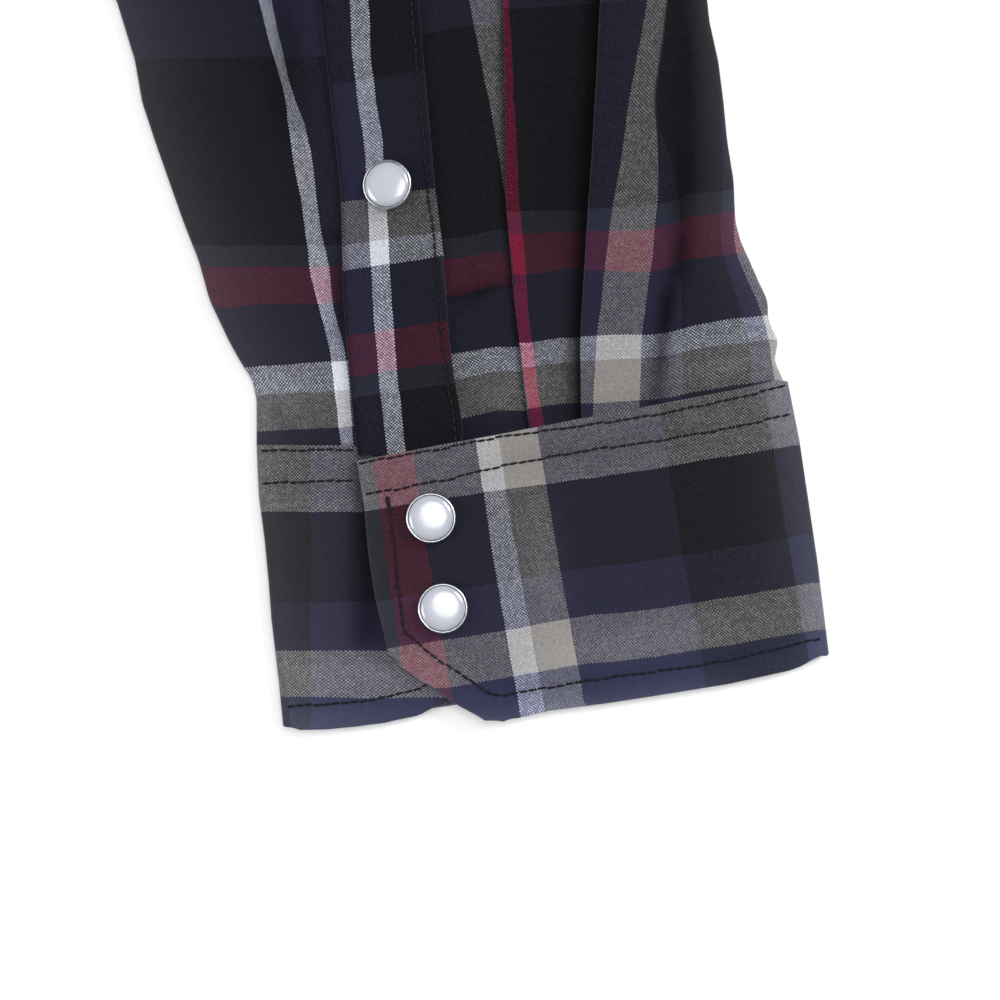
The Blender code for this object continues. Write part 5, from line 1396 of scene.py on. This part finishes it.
def build_front(side, inner_x, mirrored):
    """One front: the panel and its yoke, which lies over the panel's seam and is stitched down."""
    above, below = armhole_parts(YOKE_ARMHOLE_SHARE, 26, 34)
    centre = (inner_x, YOKE_FRONT_CENTRE_Y)
    seam = joined(bow(centre, YOKE_BOWS[0], YOKE_POINT, 36), bow(YOKE_POINT, YOKE_BOWS[1], above[-1], 36))
    drop = np.array([0, -YOKE_SEAM_GAP])
    outer_edge = joined(through(SIDE_SEAM, 88)[::-1], below[::-1])
    outer_edge[-1] = seam[-1] + drop
    inner_edge = evenly([(inner_x, HEM_FRONT_Y), seam[0] + drop], len(outer_edge))
    bottom = hem_curve(inner_x, SIDE_SEAM[-1][0], HEM_FRONT_Y, len(seam))
    plan = patch(bottom, seam + drop, inner_edge, outer_edge)
    hand = (-1, 1) if mirrored else (1, 1)
    # Thinner along the side seam, the hem turned up and stitched, and a hollow before the yoke
    hem, side_away = edge_distance(plan, "bottom"), edge_distance(plan, "right")
    z = front_height(plan * hand) + FRONT_WALL
    z = z - 0.9 * (1 - between((0, 5), side_away)) - 0.7 * (1 - between((0, 4), hem))
    z = z + ditch(hem, HEM_INSET, 0.35, 2) + ditch(side_away, 7, 0.3, 2)
    z = z + 0.25 * (1 - between((6, 10), hem))
    surface = with_height(plan, z + ditch(edge_distance(plan, "top"), 0, 0.7, 3))
    hem_line = hem_curve(inner_x + 3, 272, HEM_FRONT_Y + HEM_INSET, 240)
    build_cloth(f"front_{side}_panel", surface, BODY_WALL, straight_grain(plan * hand),
                rows=[stitch_row(seated(surface, hem_line))],
                stitching=f"front_{side}_hem_stitching", mirrored=mirrored)

    neck = neckline(np.linspace(-math.degrees(math.asin(inner_x / NECK_HALF_WIDTH)), -90, 26))
    top = joined(neck, evenly([neck[-1], SHOULDER], len(seam) - len(neck) + 1))
    inner_edge = evenly([seam[0], neck[0]], len(above))
    plan = patch(seam, top, inner_edge, above[::-1])
    away = edge_distance(plan, "bottom")
    z = front_height(plan * hand) + FRONT_WALL + 0.3 * (1 - between((8, 20), away))
    surface = with_height(plan, z + ditch(away, 2, 0.25, 0.9) + ditch(away, 8, 0.25, 0.9))
    rows = [stitch_row(seated(surface, evenly(seam[2:-2] + (0, step), 260))) for step in (2.2, 8.5)]
    build_cloth(f"front_{side}_yoke", surface, BODY_WALL, bias_grain(plan),
                rows=rows, mirrored=mirrored)


def build_back():
    """The back panel and back yoke, flat on the surface."""
    above, below = armhole_parts(YOKE_BACK_ARMHOLE_SHARE, 14, 30)
    half = bow((0, YOKE_BACK_POINT_Y), YOKE_BACK_BOW, above[-1], 30)
    seam = joined(half[::-1] * (-1, 1), half)
    drop = np.array([0, -YOKE_SEAM_GAP])
    right = joined(through(SIDE_SEAM, 50)[::-1], below[::-1])
    right[-1] = seam[-1] + drop
    bottom = hem_curve(-SIDE_SEAM[-1][0], SIDE_SEAM[-1][0], HEM_BACK_Y, len(seam))
    plan = patch(bottom, seam + drop, right * (-1, 1), right)
    hem = with_height(hem_curve(-270, 270, HEM_BACK_Y + 2.2, 300), BACK_WALL)
    build_cloth("back_panel", with_height(plan, BACK_WALL), BACK_WALL, straight_grain(plan),
                rows=[stitch_row(hem)], stitching="back_hem_stitching")

    neck = neckline(np.linspace(90, 270, 31))
    shoulder = evenly([neck[-1], SHOULDER], 15)
    top = joined(joined(shoulder[::-1] * (-1, 1), neck), shoulder)
    right = above[::-1]
    plan = patch(seam, top, right * (-1, 1), right)
    build_cloth("back_yoke", with_height(plan, BACK_YOKE_WALL), BACK_YOKE_WALL, bias_grain(plan))


def build_front_placket():
    """The band down the centre of the left front, with a stitch row inside either edge."""
    top = -NECK_FRONT_DROP - SEAM_GAP
    y = np.concatenate([np.linspace(HEM_FRONT_Y, -150, 240), np.linspace(-150, top, 30)[1:]])
    half = PLACKET_HALF_WIDTH
    x = np.concatenate([[-half, 0.8 - half], np.linspace(2 - half, half - 2, 21), [half - 0.8, half]])
    plan = np.stack(np.broadcast_arrays(x[None, :], y[:, None]), axis=-1).astype(float)
    z = front_height(plan) + 2 * FRONT_WALL + SEAM_GAP
    for place in (-PLACKET_ROW, PLACKET_ROW):
        z = z + ditch(plan[..., 0], place, 0.3, 1)
        z = z + pucker(plan[..., 1], plan[..., 0] - place, 0.12, 1.3, 2, 17, 4)
    surface = with_height(plan, z)
    rows = []
    for place in (-PLACKET_ROW, PLACKET_ROW):
        ends = [(place, HEM_FRONT_Y + 2), (place, -NECK_FRONT_DROP - 3)]
        rows.append(stitch_row(seated(surface, evenly(ends, 400))))
    build_cloth("front_placket", surface, FRONT_WALL, straight_grain(plan) + (4, 0),
                rows=rows)


# --- Collar


def stand_rows(angles):
    """Base and top line of the collar stand's middle surface, and its outward direction."""
    base = neckline(angles)
    top = neck_curve(angles, STAND_TOP_FRONT_DROP, STAND_TOP_BACK_RISE, STAND_TOP_HALF_WIDTH)
    behind = (1 - np.cos(np.radians(angles))) / 2
    base_z = FRONT_Z + FRONT_WALL + SEAM_GAP + COLLAR_WALL / 2
    base_z = base_z - STAND_BACK_SINK * between(STAND_SINKS, behind)
    top_z = STAND_TOP_Z[0] + (STAND_TOP_Z[1] - STAND_TOP_Z[0]) * behind
    base, top = with_height(base, base_z), with_height(top, top_z)
    outwards = np.cross(top - base, with_height(neckline(angles + 1) - neckline(angles - 1), 0))
    outwards /= np.linalg.norm(outwards, axis=1, keepdims=True)
    over = between(STAND_LAP_RISES, angles)[:, None] * (COLLAR_WALL + SEAM_GAP)
    return base + outwards * over, top + outwards * over, outwards


def ring_length(line):
    """Length along a line of points, from its start."""
    return np.concatenate([[0], np.cumsum(np.linalg.norm(np.diff(line, axis=0), axis=1))])


def build_collar():
    """The stand round the neck, its left end over its right, and the leaf turned down over it, stitched
    along its edges."""
    base, top, _ = stand_rows(np.linspace(-STAND_LAP, 360 + STAND_LAP, 240))
    share = np.linspace(0, 1, 15)[:, None, None]
    middle = base[None] + (top - base)[None] * share
    surface = middle + grid_normals(middle, False) * COLLAR_WALL / 2
    places = np.stack(np.broadcast_arrays(share[..., 0] * 30, ring_length(base)[None]), axis=-1)
    normals = grid_normals(surface, False)
    build_cloth("collar_stand", surface, COLLAR_WALL, places,
                [stitch_row(surface[2], normals[2])])

    angles = np.linspace(LEAF_START, 360 - LEAF_START, 220)
    half = np.array(LEAF_EDGE)
    other = half[-2::-1] * (-1, -1, 1, 1) + (360, 0, 0, 0)
    edge = through(np.concatenate([half, other]), len(angles))[:, 1:]
    _, fold, outwards = stand_rows(angles)
    on_the_lap = 1 - between(LEAF_LAP_FALLS, angles)
    fold = fold + outwards * on_the_lap[:, None] * (COLLAR_WALL + SEAM_GAP)
    fold = fold + (0, 0, COLLAR_WALL + 2 * SEAM_GAP)
    share = np.concatenate([np.linspace(0, 0.12, 6)[:-1], np.linspace(0.12, 1, 26)])[:, None, None]
    roll = LEAF_ROLL * np.sin(math.pi * np.sqrt(share))
    middle = (fold[None] + (edge - fold)[None] * share + roll * (0, 0, 1))[::-1]
    surface = middle + grid_normals(middle, False) * COLLAR_WALL / 2
    normals = grid_normals(surface, False)
    across, from_edge = edge_distance(surface, "top"), edge_distance(surface, "bottom")
    surface = surface + normals * ditch(from_edge, LEAF_STITCH_INSET, 0.25, 0.9)[..., None]
    places = np.stack([across, np.broadcast_to(ring_length(edge)[None], across.shape)], axis=-1)
    row = int(np.argmin(np.abs(from_edge[:, len(angles) // 2] - LEAF_STITCH_INSET)))
    ends = [stitch_row(surface[row:-6, c], normals[row:-6, c]) for c in (4, -5)]
    rows = [stitch_row(surface[row, 4:-4], normals[row, 4:-4]), *ends]
    build_cloth("collar_leaf", surface, COLLAR_WALL, places,
                rows)


# --- Snaps

SNAP_RIM = [(0, 0), (5.3, 0), (5.75, 0.15), (5.97, 0.5), (6, 0.9), (5.96, 1.3), (5.86, 1.62), (5.7, 1.82),
            (5.54, 1.86), (5.42, 1.76), (5.38, 1.5), (5.36, 0.65), (0, 0.6)]
SNAP_PEARL = [(0, 0.7), (5.24, 0.7), (5.32, 1.1), (5.31, 1.5), (5.2, 1.78), (4.95, 2.02), (4.55, 2.22),
              (4, 2.38), (3.3, 2.5), (2.4, 2.59), (1.3, 2.65), (0, 2.67)]


def build_snap(name, centre, up, mirrored=False):
    """A pearl snap: a spun metal cup with its bezel rolled over the pearl's edge."""
    for part, profile, finish, slot in (("rim", SNAP_RIM, RIM_METAL, "snap_metal"),
                                        ("pearl", SNAP_PEARL, PEARL, "snap_pearl")):
        piece = turned(f"{name}_{part}_turned", profile, centre, up, finish, mirrored)
        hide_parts(f"{name}_{part}")


def build_snaps():
    """The front's snaps, the collar stand's, and those of both sleeves."""
    for number in range(7):
        y = FRONT_SNAP_FIRST_Y - FRONT_SNAP_PITCH * number
        z = front_height(np.array([(0.0, y - SNAP_RADIUS), (0.0, y + SNAP_RADIUS)]))
        z = z + 2 * FRONT_WALL + SEAM_GAP
        up = (0, (z[0] - z[1]) / (2 * SNAP_RADIUS), 1)
        build_snap(f"snap_front_{number + 1}", np.array([0, y, z.max() + 0.1]), up)
    base, top, up = (rows[0] for rows in stand_rows(np.array([360.0])))
    build_snap("snap_collar", (base + top) / 2 + up * (COLLAR_WALL / 2 + SEAM_GAP), up)
    for side, mirrored in (("right", False), ("left", True)):
        for number, (x, y) in enumerate(CUFF_SNAPS):
            seat = np.array([*(WRIST + (x, y)), CUFF_HIGH + 0.15])
            build_snap(f"snap_cuff_{side}_{number + 1}", seat, (0, 0, 1), mirrored)
        seat = seated(STRIP, WRIST[None] + np.array([PLACKET_SNAP]))[0]
        build_snap(f"snap_placket_{side}", seat + (0, 0, 0.45), (-0.2, 0.1, 1), mirrored)


# --- Light, floor and camera

# The floor in metres, just below the shirt
FLOOR_HALF, FLOOR_Z = 9, -0.0004
# Name, place from the right cuff and power, in metres and watts
SOFTBOXES = [("overhead_softbox", (0.45, 0.6, 5.0), 114.0), ("right_softbox", (3.9, 2.7, 3.0), 210.0),
             ("left_softbox", (-4.5, -0.9, 2.4), 130.0)]
SOFTBOX_SIZE = 3.0
LENS, SENSOR = 150, 36
VIEW_WIDTH = 1000 / 4.25  # what the view shows of the cuff's plane: its pixels over pixels per millimetre
VIEW_PLANE_Z = 0.004


def build_stage():
    """A pale floor that runs past every view, soft lights above and the camera over the right cuff."""
    board, _, shader = new_finish("matt_white_board", Roughness=0.9, Specular_IOR_Level=0.1)
    shader.inputs["Base Color"].default_value = linear("#fdfdfd")
    mesh = bpy.data.meshes.new("floor")
    corners = ((-1, -1), (1, -1), (1, 1), (-1, 1))
    mesh.from_pydata([(x * FLOOR_HALF, y * FLOOR_HALF, FLOOR_Z) for x, y in corners], [], [(0, 1, 2, 3)])
    mesh.materials.append(board)
    placed("floor", mesh)

    world = bpy.data.worlds.new("studio")
    bpy.context.scene.world = world
    world.use_nodes = True
    sky = world.node_tree.nodes["Background"]
    sky.inputs["Color"].default_value = linear("#ffffff")
    sky.inputs["Strength"].default_value = 0.42
    aim = Vector((*(WRIST + TABLE_SHIFT[:2]) * MM, 0))
    for name, place, power in SOFTBOXES:
        light = bpy.data.lights.new(name, "AREA")
        light.shape, light.size, light.energy = "DISK", SOFTBOX_SIZE, power
        lamp = placed(name, light)
        lamp.visible_camera = False
        lamp.location = aim + Vector(place)
        lamp.rotation_mode = "QUATERNION"
        lamp.rotation_quaternion = Vector(place).to_track_quat("Z", "Y")

    camera = bpy.data.cameras.new("camera")
    camera.lens, camera.sensor_width = LENS, SENSOR
    camera.clip_start, camera.clip_end = 0.05, 30
    eye = placed("camera", camera)
    eye.location = (aim[0], aim[1], VIEW_PLANE_Z + VIEW_WIDTH * MM * LENS / SENSOR)
    bpy.context.scene.camera = eye
    bpy.context.scene.view_settings.view_transform = "Standard"


build_back()
build_front("right", -RIGHT_FRONT_LAP, True)
build_front("left", RIGHT_FRONT_LAP + SEAM_GAP, False)
build_front_placket()
build_collar()
for hand, flipped in (("right", False), ("left", True)):
    build_sleeve(hand, flipped)
    build_strip(hand, flipped)
    build_cuff(hand, flipped)
build_snaps()
build_stage()
